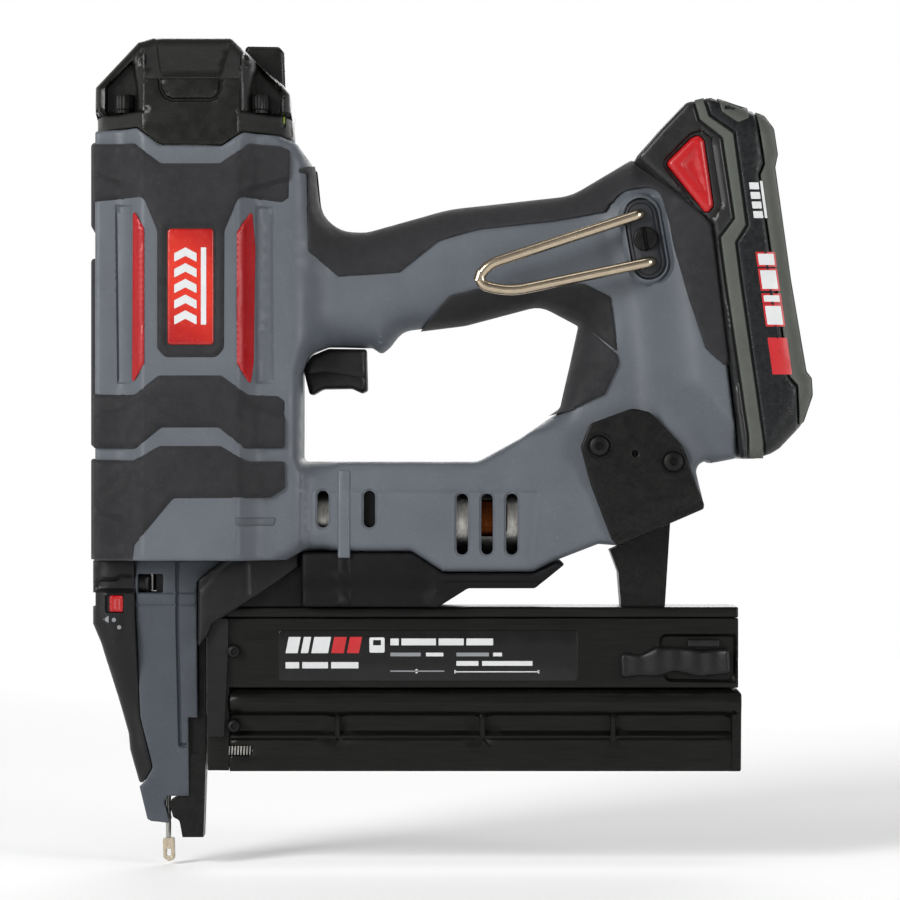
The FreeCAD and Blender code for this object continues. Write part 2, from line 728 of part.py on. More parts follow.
def trigger_switch():
    """The switch block inside the handle, above the trigger."""
    piece = Piece("trigger_switch")
    piece.pad("XZ", [box(-50, -24, -20.5, -4, 1)], "-8", "8")
    piece.pad("XZ", [box(-45.5, -42.5, -22.4, -20.5)], "-2", "2")
    return piece


def circuit_board():
    """The control board in the handle, with its larger components."""
    piece = Piece("circuit_board")
    piece.pad("XZ", [box(-18, 42, 1, 2.6)], "-12", "12")
    piece.pad("XZ", [box(-12, 0, 2.6, 8), box(6, 14, 2.6, 6), box(22, 34, 2.6, 9, 1)], "-8", "8")
    return piece


def terminal_block():
    """The battery terminal block in the seat, with its blade contacts."""
    piece = Piece("terminal_block")
    piece.pad("XZ", [[(80, 10), (86, 10), (94, -52), (88, -52)]], "-12", "12")
    return piece


FRONT_COVER = [
    (-140.6, -112.2, 1), (-140.6, -137, 3), (-137.4, -144.6, 4), (-127.4, -181, 4), (-122.6, -200, 1),
    (-120.6, -197, 1), (-118, -191.6, 3), (-122.6, -172, 3), (-124.2, -132), (-124.2, -112.2),
]
NOSE_COVER = [
    (-123.8, -112.2), (-123.8, -132), (-122.2, -172, 3), (-117.6, -191.6, 3), (-120.2, -197, 1),
    (-122, -200.4),
    (-119.4, -212.6, 2), (-111, -213.6, 1), (-113.4, -205.6, 1), (-113, -202.4), (-103.6, -202.4),
    (-103.6, -172.4), (-99.2, -172.4, 1), (-99.2, -112.2),
]


def nose_front_cover():
    """The black shell over the front of the nose, which carries the mode switch."""
    piece = Piece("nose_front_cover")
    piece.pad("XZ", [FRONT_COVER], "-dims.front_cover_half", "dims.front_cover_half")
    room = [(-138, -111), (-138, -135.5), (-135, -143), (-129, -165), (-125.4, -165), (-123, -132),
            (-123, -111)]
    piece.pocket("XZ", [room], "-dims.front_cover_half + 2.2", "dims.front_cover_half - 2.2")
    piece.pocket("YZ",
                 [[(-8, -150), (-8, -220), (-40, -220), (-40, -150)],
                  [(8, -150), (40, -150), (40, -220), (8, -220)]],
                 "-200", "-100")
    piece.pocket("XZ", [box(-137.4, -128, -132, -125.2, 1)], "dims.front_cover_half - 3", "30")
    return piece


def nose_cover():
    """The grey shell round the drive channel, wide above and narrow at the tip."""
    piece = Piece("nose_cover")
    piece.pad("XZ", [NOSE_COVER], "-dims.nose_cover_half", "dims.nose_cover_half")
    low = size("nose_low_half")
    taper = [(-low, -186), (-low, -240), (-40, -240), (-40, -128), (-13.6, -128)]
    piece.pocket("YZ", [taper, [(-y, z) for y, z in taper]], "-200", "-90")
    room = [(-120.6, -111), (-120.6, -150), (-117, -176), (-117, -214), (-90, -214), (-90, -111)]
    piece.pocket("XZ", [room], "-dims.nose_half - 0.1", "dims.nose_half + 0.1")
    piece.pocket("XZ", [box(-105.6, -90, -188, -111)], "-12.2", "12.2")
    piece.pocket("XZ", [box(-128, -113.4, -124.6, -117.2, 1)], "6", "30")
    piece.pocket("YZ", [box(-6.6, 6.6, -220, -100)], "-125", "-119.5")
    return piece


def nose_guards():
    """The black mouldings between the barrel's foot and the magazine, one on each side."""
    piece = Piece("nose_guards")
    outline = [(-98.8, -118.8, 1), (-89, -112.2, 3), (-61.2, -112.2), (-61.2, -114.4, 2),
               (-77.6, -126, 3),
               (-90.5, -129.4, 1), (-98.8, -129.4)]
    for side in SIDES:
        side_pad(piece, side, [outline], "13.2", "19.5")
    return piece


def nose_plate_front():
    """The hardened front wall of the drive channel, with side rails near the tip."""
    piece = Piece("nose_plate_front")
    front = "dims.barrel_x - dims.driver_half - 0.1"
    inner = BARREL_X - size("driver_half") - 0.1
    tip = size("nose_tip_z")
    outline = [
        (-108.4, -113), (-108.4, -203), (-111.6, -205, 1), (-110, -210.8, 1), (-107.6, -212, 2),
        (-106.4, tip),
        (inner, tip), (inner, -113),
    ]
    piece.pad("XZ", [outline], "-dims.nose_half", "dims.nose_half")
    piece.pocket("XZ", [box(-118, -109, -214, -198)], "-4.4", "4.4")
    rails = [box(1.8, 6.5, tip, -186.5), box(-6.5, -1.8, tip, -186.5)]
    piece.pad("YZ", rails, front, "dims.barrel_x + dims.driver_half + 0.1")
    return piece


def nose_plate_rear():
    """The rear wall of the drive channel, slotted where the brads come in."""
    piece = Piece("nose_plate_rear")
    front = BARREL_X + size("driver_half") + 0.1
    tip = size("nose_tip_z")
    outline = [(front, -132.5), (-97.6, -132.5), (-97.6, -194), (-98.4, tip), (front, tip)]
    piece.pad("XZ", [outline], "-dims.nose_half", "dims.nose_half")
    piece.pocket("YZ", [box(-1.3, 1.3, -193, -133.6)], "-110", "-90")
    return piece


def contact_wire():
    """The bent wire in front of the nose that is pressed on the work."""
    piece = Piece("contact_wire")
    x = size("wire_x")
    wire = Circle(x, 0, "dims.wire_radius")
    piece.pad("XY", [wire], "-220.4", "-131")
    piece.pad("XZ", [box(x - 3, x + 2.4, -134, -131, 0.5)], "-3", "3")
    return piece


def contact_spring():
    """The return spring of the contact wire, drawn as its outer sleeve."""
    piece = Piece("contact_spring")
    x = size("wire_x")
    piece.pad("XY", [Circle(x, 0, "2.6"), Circle(x, 0, "1.6")], "-130.6", "-115")
    return piece


def no_mar_tip():
    """The clear tip on the end of the contact wire."""
    piece = Piece("no_mar_tip")
    x = size("wire_x")
    outline = [(x - 2.1, -219.4, 0.8), (x + 2.4, -218.8, 0.8), (x + 2.6, -227.4, 1.4),
               (x + 0.2, -228.6, 1), (x - 1.9, -226.8, 1)]
    piece.pad("XZ", [outline], "-2.6", "2.6")
    piece.pocket("XY", [Circle(x, 0, "dims.wire_radius + 0.01")], "-220.4", "-200")
    piece.pocket("XZ", [box(x - 0.6, x + 1.2, -226.4, -223.6, 0.3)], "-10", "10")
    return piece


def depth_wheel():
    """The knurled wheel that sets the driving depth, seen through the window of the nose cover."""
    piece = Piece("depth_wheel")
    x = size("depth_x")
    wheel = []
    for step in range(36):
        radius = 4.4 if step % 2 else 4.7
        angle = math.radians(10 * step)
        wheel.append((x + radius * math.cos(angle), radius * math.sin(angle)))
    piece.pad("XY", [wheel, Circle(x, 0, "1.55")], "-124", "-117.4")
    return piece


def depth_screw():
    """The fixed stem that the depth wheel turns on."""
    piece = Piece("depth_screw")
    piece.pad("XY", [Circle(size("depth_x"), 0, "1.5")], "-127", "-114")
    return piece


def mode_slider():
    """The small slider that picks sequential or contact firing."""
    piece = Piece("mode_slider")
    half = size("front_cover_half")
    piece.pad("XZ", [box(-134, -128.4, -131.8, -125.4, 0.8)], "dims.front_cover_half - 2.4",
              "dims.front_cover_half + 0.9")
    ridges = [box(x, x + 0.8, -131.2, -126) for x in (-133.2, -131.6, -130)]
    piece.pad("XZ", ridges, "dims.front_cover_half + 0.9", "dims.front_cover_half + 1.5")
    return piece


ARM_GUARD = [
    (-60, -109, 1), (-18.2, -109, 2), (-6.3, -116.8, 2), (28, -116.8, 2), (36.4, -112.6, 2),
    (40.2, -112, 1),
    (28, -121.6, 3), (3, -121.6, 3), (-8.5, -129.4, 2), (-60, -129.4, 1),
]


def arm_guard():
    """The black shield between the motor arm and the magazine."""
    piece = Piece("arm_guard")
    piece.pad("XZ", [ARM_GUARD], "-dims.arm_half + 0.6", "dims.arm_half - 0.6")
    room = [(-61, -100), (-61, -116.8), (-57.4, -116.8), (-57.4, -127), (-9.2, -127), (2.4, -119.6),
            (27, -119.6), (32, -116.6), (32, -100)]
    piece.pocket("XZ", [room], "-dims.arm_half + 2.5", "dims.arm_half - 2.5")
    return piece


BRACKET = [
    (49, -59.8, 4), (65.3, -53.8, 5), (72, -55.6, 5), (84.4, -69, 5), (92.8, -92, 2), (60, -106.6, 2),
    (57.2, -103.8, 2),
    (45.4, -69.6, 5),
]


def brackets():
    """Steel side plates between the motor arm and the battery seat, with two bolt holes each."""
    piece = Piece("brackets")
    holes = [Circle(x, z, "dims.bracket_bolt + 0.1") for x, z in BRACKET_BOLTS]
    for side in SIDES:
        side_pad(piece, side, [BRACKET, *holes, Circle(66.2, -71.4, "1.2")],
                 "dims.bracket_inner", "dims.bracket_inner + dims.bracket_sheet")
    return piece


def bracket_bolts():
    """Button-head bolts through both side plates."""
    piece = Piece("bracket_bolts")
    for side in (1, -1):
        face = "dims.bracket_inner + dims.bracket_sheet"
        side_pad(piece, side, [Circle(x, z, "4.3") for x, z in BRACKET_BOLTS], face, f"{face} + 2.6")
        sockets = [[(x + 1.4 * math.cos(math.radians(60 * k)), z + 1.4 * math.sin(math.radians(60 * k)))
                    for k in range(6)] for x, z in BRACKET_BOLTS]
        side_pocket(piece, side, sockets, f"{face} + 1", "60")
        side_pad(piece, side, [Circle(x, z, "dims.bracket_bolt") for x, z in BRACKET_BOLTS], "19", face)
    return piece


def magazine_post():
    """The bent steel post that holds the rear of the magazine."""
    piece = Piece("magazine_post")
    outline = [(57.4, -108.4), (60.6, -117, 3), (61.6, -129.9), (78.4, -129.9), (80.4, -98.2)]
    piece.pad("XZ", [outline], "-9", "9")
    piece.pocket("XZ", [[(60.5, -105), (64.5, -118), (65.2, -127), (90, -127), (90, -90)]], "-6.8",
                 "6.8")
    return piece


def magazine_body():
    """The fixed half of the magazine: top, upper left wall and the full-height right wall."""
    piece = Piece("magazine_body")
    half = size("magazine_half")
    top, split, low = size("magazine_top_z"), size("magazine_split_z"), size("magazine_bottom_z")
    section = [(-half, top, 1), (half, top, 1), (half, low, 1), (1.6, low), (1.6, top - 4),
               (-9, top - 4), (-9, split),
               (-half, split)]
    piece.pad("YZ", [section], "dims.magazine_start_x", "dims.magazine_end_x")
    piece.pocket("XZ", [box(75.6, 104.4, -158.4, -140.4, 3)], "dims.magazine_half - 1.7", "60")
    hinge = box(size("latch_x") - 4.4, size("latch_x") + 4.4, -145.4, -142.4, 0.6)
    piece.pad("XZ", [hinge], "dims.magazine_half - 1.7", "dims.magazine_half + 3.8")
    piece.pocket("XY", [Circle(size("latch_x"), -half - 1.9, "1.56")], "-146", "-143.4")
    bays = [box(x, x + 30, -188, -140, 2) for x in (-90, -56, -22, 12, 46)]
    piece.pocket("XZ", bays, "-60", "-dims.magazine_half + 1.2")
    return piece


def magazine_slider():
    """The sliding half of the magazine, drawn back to load brads, with its ribbed lower face."""
    piece = Piece("magazine_slider")
    half = size("magazine_half")
    top, split, low = size("magazine_top_z"), size("magazine_split_z"), size("magazine_bottom_z")
    section = [(-8.6, top - 4.3), (-1.6, top - 4.3), (-1.6, low), (-half, low, 1), (-half, -180),
               (-half + 3, -179),
               (-half + 3, -171), (-half - 1, -170, 1), (-half - 1.6, -166, 2), (-half, split - 0.4),
               (-8.6, split - 0.4)]
    piece.pad("YZ", [section], "-88", "dims.magazine_end_x + 1")
    ribs = [box(x - 0.8, x + 0.8, -178.6, -171.4) for x in (-46.8, 8.6, 58.4, 104)]
    piece.pad("XZ", ribs, "dims.magazine_half - 3", "dims.magazine_half - 0.4")
    piece.pocket("YZ", [box(-6.2, 0, -174, -152)], "-100", "100")
    piece.pocket("XZ", [box(-86, -79, -185.8, -181.8, 1.6)], "0", "60")
    return piece


def brad_strip():
    """A full strip of glued brads standing in the magazine."""
    piece = Piece("brad_strip")
    top = size("brad_top_z")
    low = top - size("brad_length")
    half = size("brad_width") / 2
    section = [(-1, top), (1, top), (1, top - 1.2), (half, top - 1.2), (half, low), (-half, low),
               (-half, top - 1.2),
               (-1, top - 1.2)]
    piece.pad("YZ", [section], "dims.barrel_x + dims.driver_half + 0.3", "dims.strip_end_x")
    return piece


def pusher():
    """The sprung follower behind the strip, in its groove in the slider."""
    piece = Piece("pusher")
    piece.pad("XZ", [box(38.3, 60, -173.6, -152.4, 1)], "2", "5.8")
    piece.pad("XZ", [box(38.3, 46, -190, -136.4, 0.5)], "-1.1", "1.3")
    piece.pad("XZ", [box(40, 58, -172, -154, 0.5)], "1.2", "2.2")
    return piece


def magazine_bracket():
    """The front bracket that screws the magazine to the nose."""
    piece = Piece("magazine_bracket")
    outline = [(-96.2, -134.4, 1), (-88.4, -134.4, 1), (-88.4, -145, 1), (-90, -179.4, 1),
               (-96.2, -179.4, 1)]
    piece.pad("XZ", [outline], "dims.magazine_half + 0.1", "dims.magazine_half + 2.4")
    piece.pad("XZ", [outline], "-dims.magazine_half - 2.4", "-dims.magazine_half - 0.1")
    plate = [(-15.4, -134.4), (15.4, -134.4), (15.4, -179.4), (1.7, -179.4), (1.7, -135.4),
             (-1.7, -135.4), (-1.7, -179.4),
             (-15.4, -179.4)]
    piece.pad("YZ", [plate], "dims.magazine_start_x - 1.2", "dims.magazine_start_x - 0.1")
    return piece


def magazine_screws():
    """Screws at the front of the magazine, on both sides."""
    piece = Piece("magazine_screws")
    for z in (-147.6, -176):
        piece.pad("XZ", [Circle(-93.2, z, "2.4")], "dims.magazine_half + 2.4", "dims.magazine_half + 4")
        piece.pad("XZ", [Circle(-93.2, z, "2.4")], "-dims.magazine_half - 4",
                  "-dims.magazine_half - 2.4")
    return piece


def magazine_label():
    """A plain printed plate on the upper side of the magazine."""
    piece = Piece("magazine_label")
    piece.pad("XZ", [box(-69.5, 44.8, -158, -138.8, 1.2)], "dims.magazine_half",
              "dims.magazine_half + 0.3")
    return piece


LATCH = [
    (61, -146.6, 2), (68.6, -147.2, 4), (75, -145.8, 3), (84, -145.8), (102.4, -146.4, 2),
    (102.8, -156, 2), (88, -155.2, 3),
    (70, -155.6, 3), (61.6, -155.2, 3),
]


def magazine_latch():
    """The rocker that locks the slider: pressed at its rear end, it lifts its front end."""
    piece = Piece("magazine_latch")
    piece.pad("XZ", [LATCH], "dims.magazine_half + 0.4", "dims.magazine_half + 3.4")
    piece.pad("XY", [Circle(size("latch_x"), -size("magazine_half") - 1.9, "1.5")], "-145.8", "-143.6")
    return piece


# Where the hook wire's two ends enter the plate.
HOOK_ENDS = [(72.2, 1), (68.2, 19)]


def belt_hook():
    """A bent wire loop whose two ends go into the hook plate."""
    piece = Piece("belt_hook")
    depth = size("hook_depth")
    path = [HOOK_ENDS[0], (19, -10.2, 6), (6.4, -7.6, 5), (8.6, -0.6, 6), HOOK_ENDS[1]]
    spine = piece.sketch("XZ", [], "dims.hook_depth")
    edges = rounded(path + [(200, 60)])
    kept = [e for e in edges if max(e.StartPoint.x, e.EndPoint.x) < 80]
    spine.addGeometry(kept, False)
    start, towards = V(path[0][0], path[0][1], 0), V(path[1][0], path[1][1], 0)
    direction = (towards - start).normalize()
    profile = piece.body.newObject("Sketcher::SketchObject", "belt_hook_wire")
    profile.addGeometry(Part.Circle(V(0, 0, 0), V(0, 0, 1), 1.0), False)
    profile.addConstraint(Sketcher.Constraint("Radius", 0, 1.0))
    profile.setExpression("Constraints[0]", "dims.hook_wire")
    turned = FreeCAD.Rotation(V(0, 0, 1), V(direction.x, 0, direction.y))
    profile.Placement = FreeCAD.Placement(V(start.x, -depth, start.y), turned)
    pipe = piece.body.newObject("PartDesign::AdditivePipe", "belt_hook_pipe")
    pipe.Profile = profile
    pipe.Spine = spine
    piece.body.Tip = pipe
    piece.steps.append((pipe, True))
    ends = [Circle(a, b, "dims.hook_wire + 0.2") for a, b in HOOK_ENDS]
    piece.pad("XZ", ends, "dims.handle_half + 2", "dims.hook_depth + dims.hook_wire + 0.2")
    return piece


def hook_plates():
    """The raised oval inserts, one on each side, that take the belt hook's ends and its screw."""
    piece = Piece("hook_plates")
    x, z = size("hook_x"), size("hook_z")
    lean = math.radians(10)
    along = V(-math.sin(lean), math.cos(lean), 0)
    across = V(along.y, -along.x, 0)
    spans = ((15.5, -6.5), (15.5, 6.5), (-15.5, 6.5), (-15.5, -6.5))
    corners = [along * a + across * b for a, b in spans]
    oval = [(x + p.x, z + p.y, 6.4) for p in corners]
    holes = [Circle(a, b, "dims.hook_wire + 0.25") for a, b in HOOK_ENDS]
    holes.append(Circle(x, z, "dims.hook_screw"))
    for side in SIDES:
        side_pad(piece, side, [oval, *holes], "dims.handle_half", "dims.handle_half + 8.6")
    return piece


def hook_screw():
    """The slotted screw that clamps the belt hook."""
    piece = Piece("hook_screw")
    x, z = size("hook_x"), size("hook_z")
    piece.pad("XZ", [Circle(x, z, "4.4")], "dims.handle_half + 8.6", "dims.handle_half + 11.4")
    piece.pocket("XZ", [box(x - 6, x + 6, z - 0.6, z + 0.6)], "dims.handle_half + 10.2", "60")
    piece.pad("XZ", [Circle(x, z, "dims.hook_screw - 0.1")], "10", "dims.handle_half + 8.6")
    return piece


BATTERY = [
    (67.6, 41.4, 2), (84, 62, 6), (95.5, 65.2, 4), (115, 59.4, 5), (121.4, 50, 5), (121.6, 38),
    (128, -8),
    (133.2, -39.5, 3), (136, -48, 4), (131, -62, 6), (118, -71.5, 6), (107, -73.4, 3), (95.6, 15.2, 3),
]


def battery_case():
    """The battery pack's closed case, hollow for its cells."""
    piece = Piece("battery_case")
    piece.pad("XZ", [BATTERY], "-dims.battery_half", "dims.battery_half")
    piece.pocket("XZ", [inset(BATTERY, 3)], "-dims.battery_half + 3", "dims.battery_half - 3")
    for side in SIDES:
        side_pocket(piece, side, [BUTTON], "dims.battery_half - 6", "60")
    return piece


BUTTON = [(76.6, 37.8, 2), (87.4, 48, 2), (91.4, 46.4, 2), (95, 21.8, 2), (92.6, 19, 2)]


def battery_cells():
    """Five cells in a row across the pack, with the board that joins them."""
    piece = Piece("battery_cells")
    start = V(106.4, 27, 0)
    step = V(2.45, -18.6, 0)
    places = [start + step * k for k in range(5)]
    half = "dims.cell_length / 2"
    piece.pad("XZ", [Circle(p.x, p.y, "dims.cell_radius") for p in places], f"-{half}", half)
    return piece


def release_button():
    """The release button on the left side of the battery."""
    piece = Piece("release_button_left")
    side_pad(piece, 1, [inset(BUTTON, 0.35)], "dims.battery_half - 3", "dims.battery_half + 0.2")
    return piece


for make in (housing, barrel_grip, release_button):
    left = make()
    MirroredPiece(left.label.replace("left", "right"), left)
for make in (
    front_bumper, accent_strips, top_cap, cap_bolts, pressure_vessel, cylinder, bumper, piston,
    piston_seal, driver_blade, lifter, planet_carrier, planets, rotor, gearbox_case, motor_can,
    motor_end_cap, trigger, trigger_pin, trigger_switch, circuit_board, terminal_block,
    nose_front_cover, nose_cover, nose_plate_front, nose_plate_rear, contact_wire, contact_spring,
    no_mar_tip, depth_wheel, depth_screw, mode_slider, arm_guard, bracket_bolts, magazine_post,
    magazine_body, magazine_slider, brad_strip, pusher, magazine_bracket, magazine_screws,
    magazine_label, magazine_latch, belt_hook, hook_screw, battery_case, battery_cells, badges,
    nose_guards, brackets, hook_plates, grip_rubber,
):
    make()

document.recompute()
for item in document.Objects:
    if "Invalid" in item.State or "Error" in item.State:
        raise RuntimeError(f"{item.Name} failed: {item.State} {item.getStatusString()}")
for piece in pieces.values():
    piece.check()
os.makedirs("parts", exist_ok=True)
for label, piece in pieces.items():
    piece.body.Shape.exportStep(os.path.join("parts", f"{label}.step"))
print(len(pieces), "pieces written")
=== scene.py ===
"""The cordless brad nailer's looks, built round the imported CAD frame.

Outlines are in millimetres as (x, z, corner radius), seen from the tool's left side.  A skin is
filled from its outline with triangles, and its outer face stands off the mid-plane by a height
that is a formula of x, z and the distance to the outline.
"""
import math
import bmesh
import bpy
import numpy as np
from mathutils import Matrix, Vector
from mathutils.geometry import delaunay_2d_cdt


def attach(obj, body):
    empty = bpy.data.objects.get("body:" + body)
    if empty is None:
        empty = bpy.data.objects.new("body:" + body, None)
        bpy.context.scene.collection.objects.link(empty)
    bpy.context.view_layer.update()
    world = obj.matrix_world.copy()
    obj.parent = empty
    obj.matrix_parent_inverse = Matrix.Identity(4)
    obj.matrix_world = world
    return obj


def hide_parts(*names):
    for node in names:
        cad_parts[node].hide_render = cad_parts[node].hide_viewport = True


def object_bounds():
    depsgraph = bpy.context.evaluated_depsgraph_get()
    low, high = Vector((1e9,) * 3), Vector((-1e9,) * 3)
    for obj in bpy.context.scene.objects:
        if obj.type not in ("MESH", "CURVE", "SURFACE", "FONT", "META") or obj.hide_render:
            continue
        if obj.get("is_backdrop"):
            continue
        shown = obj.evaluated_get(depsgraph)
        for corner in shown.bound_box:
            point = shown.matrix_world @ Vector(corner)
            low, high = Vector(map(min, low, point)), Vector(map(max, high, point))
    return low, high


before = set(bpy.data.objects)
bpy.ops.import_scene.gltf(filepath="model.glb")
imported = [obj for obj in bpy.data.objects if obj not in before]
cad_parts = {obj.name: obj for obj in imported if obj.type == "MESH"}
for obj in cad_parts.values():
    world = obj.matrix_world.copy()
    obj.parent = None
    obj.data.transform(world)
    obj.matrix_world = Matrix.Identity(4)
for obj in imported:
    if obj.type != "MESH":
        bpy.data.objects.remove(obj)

cad_low, cad_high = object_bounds()
MM = 0.001
BARREL_X = -101.6
BARREL_HALF = 36.4       # half width of the barrel's eight-sided section
BARREL_FLAT = 18         # half width of the section's flat side
BARREL_EDGES = (-119.6, -83.6)
WEB_HALF = 28.5          # half width of the web between the barrel and the trigger
HANDLE_HALF = 17
PACK_HALF = 36.6
RAIL_HALF = 13           # half width of the magazine
ARC_TURN = 0.26          # greatest turn in radians between two points of an arc
BEND_STEPS = 16          # steps along each bend of a wire
BATCH = 3000             # points measured at a time
SIDES = (-1, 1)
LEFT = (-1,)
RIGHT = (1,)
SIDE_NAMES = ((-1, "left"), (1, "right"))

# ---------------------------------------------------------------- outlines


def trace(corners, step=2.4):
    """Points round a closed outline, anticlockwise, with each corner radius as an arc."""
    flat = [Vector(c[:2]) for c in corners]
    runs = []
    for index, corner in enumerate(corners):
        here = flat[index]
        radius = corner[2] if len(corner) > 2 else 0
        if radius <= 0:
            runs.append([here])
            continue
        before = (flat[index - 1] - here).normalized()
        after = (flat[(index + 1) % len(flat)] - here).normalized()
        half = before.angle(after) / 2
        reach = radius / math.tan(half)
        centre = here + (before + after).normalized() * (radius / math.sin(half))
        start = here + before * reach - centre
        end = here + after * reach - centre
        first = math.atan2(start.y, start.x)
        turn = (math.atan2(end.y, end.x) - first + math.pi) % (2 * math.pi) - math.pi
        count = max(2, math.ceil(abs(turn) / ARC_TURN), math.ceil(abs(turn) * radius / step))
        angles = [first + turn * k / count for k in range(count + 1)]
        runs.append([centre + Vector((math.cos(a), math.sin(a))) * radius for a in angles])
    points = []
    for index, run in enumerate(runs):
        points += run
        following = runs[(index + 1) % len(runs)][0]
        gap = following - run[-1]
        count = int(gap.length / step)
        points += [run[-1] + gap * (k / (count + 1)) for k in range(1, count + 1)]
    loop = np.array([tuple(p) for p in points])
    keep = np.linalg.norm(loop - np.roll(loop, 1, 0), axis=1) > 1e-3
    loop = loop[keep]
    x, z = loop.T
    area = (x * np.roll(z, -1) - np.roll(x, -1) * z).sum()
    return loop if area > 0 else loop[::-1]


def rectangle(x_low, x_high, z_low, z_high, radius=0):
    return [(x_low, z_low, radius), (x_high, z_low, radius), (x_high, z_high, radius),
            (x_low, z_high, radius)]


def disc(x, z, radius):
    """A circle as an outline of four fully rounded corners."""
    return rectangle(x - radius, x + radius, z - radius, z + radius, radius * 0.999)


def distance(points, loops):
    """How far each point is from the nearest of the loops."""
    best = np.full(len(points), 1e9)
    starts = np.concatenate(loops)
    sides = np.concatenate([np.roll(loop, -1, 0) - loop for loop in loops])
    squares = (sides ** 2).sum(1)
    for low in range(0, len(points), BATCH):
        gap = points[low:low + BATCH, None, :] - starts
        share = np.clip((gap * sides).sum(2) / squares, 0, 1)
        best[low:low + BATCH] = np.sqrt(((gap - share[..., None] * sides) ** 2).sum(2).min(1))
    return best


def inside(points, loops):
    """Which points lie inside the first loop and outside the others."""
    hits = np.zeros(len(points), int)
    x, z = points[:, :1], points[:, 1:]
    for loop in loops:
        (ax, az), (bx, bz) = loop.T, np.roll(loop, -1, 0).T
        rise = np.where(bz == az, 1e-12, bz - az)
        crosses = ((az > z) != (bz > z)) & (x < ax + (z - az) / rise * (bx - ax))
        hits += crosses.sum(1)
    return hits % 2 == 1


def leftwards(loop):
    """The direction to the left of the loop at each of its points."""
    ahead = np.roll(loop, -1, 0) - loop
    ahead /= np.linalg.norm(ahead, axis=1)[:, None]
    normal = np.stack([-ahead[:, 1], ahead[:, 0]], 1)
    normal = normal + np.roll(normal, 1, 0)
    return normal / np.linalg.norm(normal, axis=1)[:, None]


def offset_rows(loops, rings):
    """Rows of points at each distance inwards of the loops."""
    rows = []
    for ring in rings:
        for loop in loops if ring > 0 else ():
            row = loop + leftwards(loop) * ring
            row = row[inside(row, loops)]
            rows.append(row[distance(row, loops) > ring * 0.97])
    return rows


def wound(loops):
    """The same loops with the holes clockwise, so that the inside is always on the left."""
    return [loops[0]] + [hole[::-1] for hole in loops[1:]]


def fill(loops, rings, spacing, creases=(), limits=None, limit_rings=()):
    """Triangles inside the loops, and inside the limits if any, with rows of points along rims."""
    loops = wound(loops)
    rows = offset_rows(loops, rings)
    kept = loops
    if limits:
        limits = wound(limits)
        rows = [row[inside(row, limits)] for row in rows]
        rows += [row[inside(row, loops)] for row in offset_rows(limits, limit_rings)]
        kept = loops + limits
    low, high = loops[0].min(0), loops[0].max(0)
    grid = []
    for row, z in enumerate(np.arange(low[1], high[1], spacing * 0.866)):
        grid += [(x, z) for x in np.arange(low[0] + (row % 2) * spacing / 2, high[0], spacing)]
    grid = np.array(grid)
    grid = grid[inside(grid, loops)]
    if limits:
        grid = grid[inside(grid, limits)]
        grid = grid[distance(grid, limits) > max(limit_rings, default=0) + spacing * 0.4]
    grid = grid[distance(grid, loops) > max(rings) + spacing * 0.45]
    if len(creases):
        creases = np.array(creases)
        creases = creases[inside(creases, loops)]
        if limits:
            creases = creases[inside(creases, limits)]
        creases = creases[distance(creases, kept) > 0.3]
        if len(creases) and len(grid):
            gaps = [np.sqrt(((grid[k:k + 800, None] - creases) ** 2).sum(2)).min(1)
                    for k in range(0, len(grid), 800)]
            grid = grid[np.concatenate(gaps) > spacing * 0.5]
        rows.append(creases)
    points = np.concatenate(kept + [row for row in rows if len(row)] + ([grid] if len(grid) else []))
    edges, start = [], 0
    for loop in kept:
        count = len(loop)
        edges += [(start + k, start + (k + 1) % count) for k in range(count)]
        start += count
    made = delaunay_2d_cdt([Vector(p) for p in points], edges, [], 0, 1e-3, False)
    points = np.array([tuple(p) for p in made[0]])
    triangles = np.array(made[2])
    middles = points[triangles].mean(1)
    chosen = inside(middles, loops)
    if limits:
        chosen &= inside(middles, limits)
    triangles = triangles[chosen]
    first = points[triangles[:, 1]] - points[triangles[:, 0]]
    second = points[triangles[:, 2]] - points[triangles[:, 0]]
    area = first[:, 0] * second[:, 1] - first[:, 1] * second[:, 0]
    triangles[area < 0] = triangles[area < 0][:, ::-1]
    used, triangles = np.unique(triangles, return_inverse=True)
    points = points[used]
    return points, triangles.reshape(-1, 3), distance(points, loops)


def crease(x0, z0, x1, z1, step=2.2, beside=(0,)):
    """Points along a line, and along lines beside it."""
    ahead = np.array([x1 - x0, z1 - z0], float)
    length = np.linalg.norm(ahead)
    across = np.array([-ahead[1], ahead[0]]) / length
    count = max(2, int(length / step))
    return [np.array([x0, z0]) + ahead * k / count + across * b for b in beside for k in range(count + 1)]


# ---------------------------------------------------------------- meshes


def mesh_object(name, points, faces, edge=None, sharp=38):
    """A shaded object from points in millimetres; edge says how near each point is to a worn edge."""
    mesh = bpy.data.meshes.new(name)
    mesh.from_pydata([tuple(p) for p in np.array(points) * MM], [], [tuple(int(i) for i in f) for f in faces])
    if edge is not None:
        mesh.attributes.new("edge", "FLOAT", "POINT").data.foreach_set("value", np.array(edge, np.float32))
    work = bmesh.new()
    work.from_mesh(mesh)
    bmesh.ops.remove_doubles(work, verts=work.verts, dist=2e-6)
    bmesh.ops.dissolve_degenerate(work, dist=1e-7, edges=work.edges)
    work.to_mesh(mesh)
    work.free()
    mesh.shade_smooth()
    mesh.set_sharp_from_angle(angle=math.radians(sharp))
    thing = bpy.data.objects.new(name, mesh)
    bpy.context.scene.collection.objects.link(thing)
    return thing


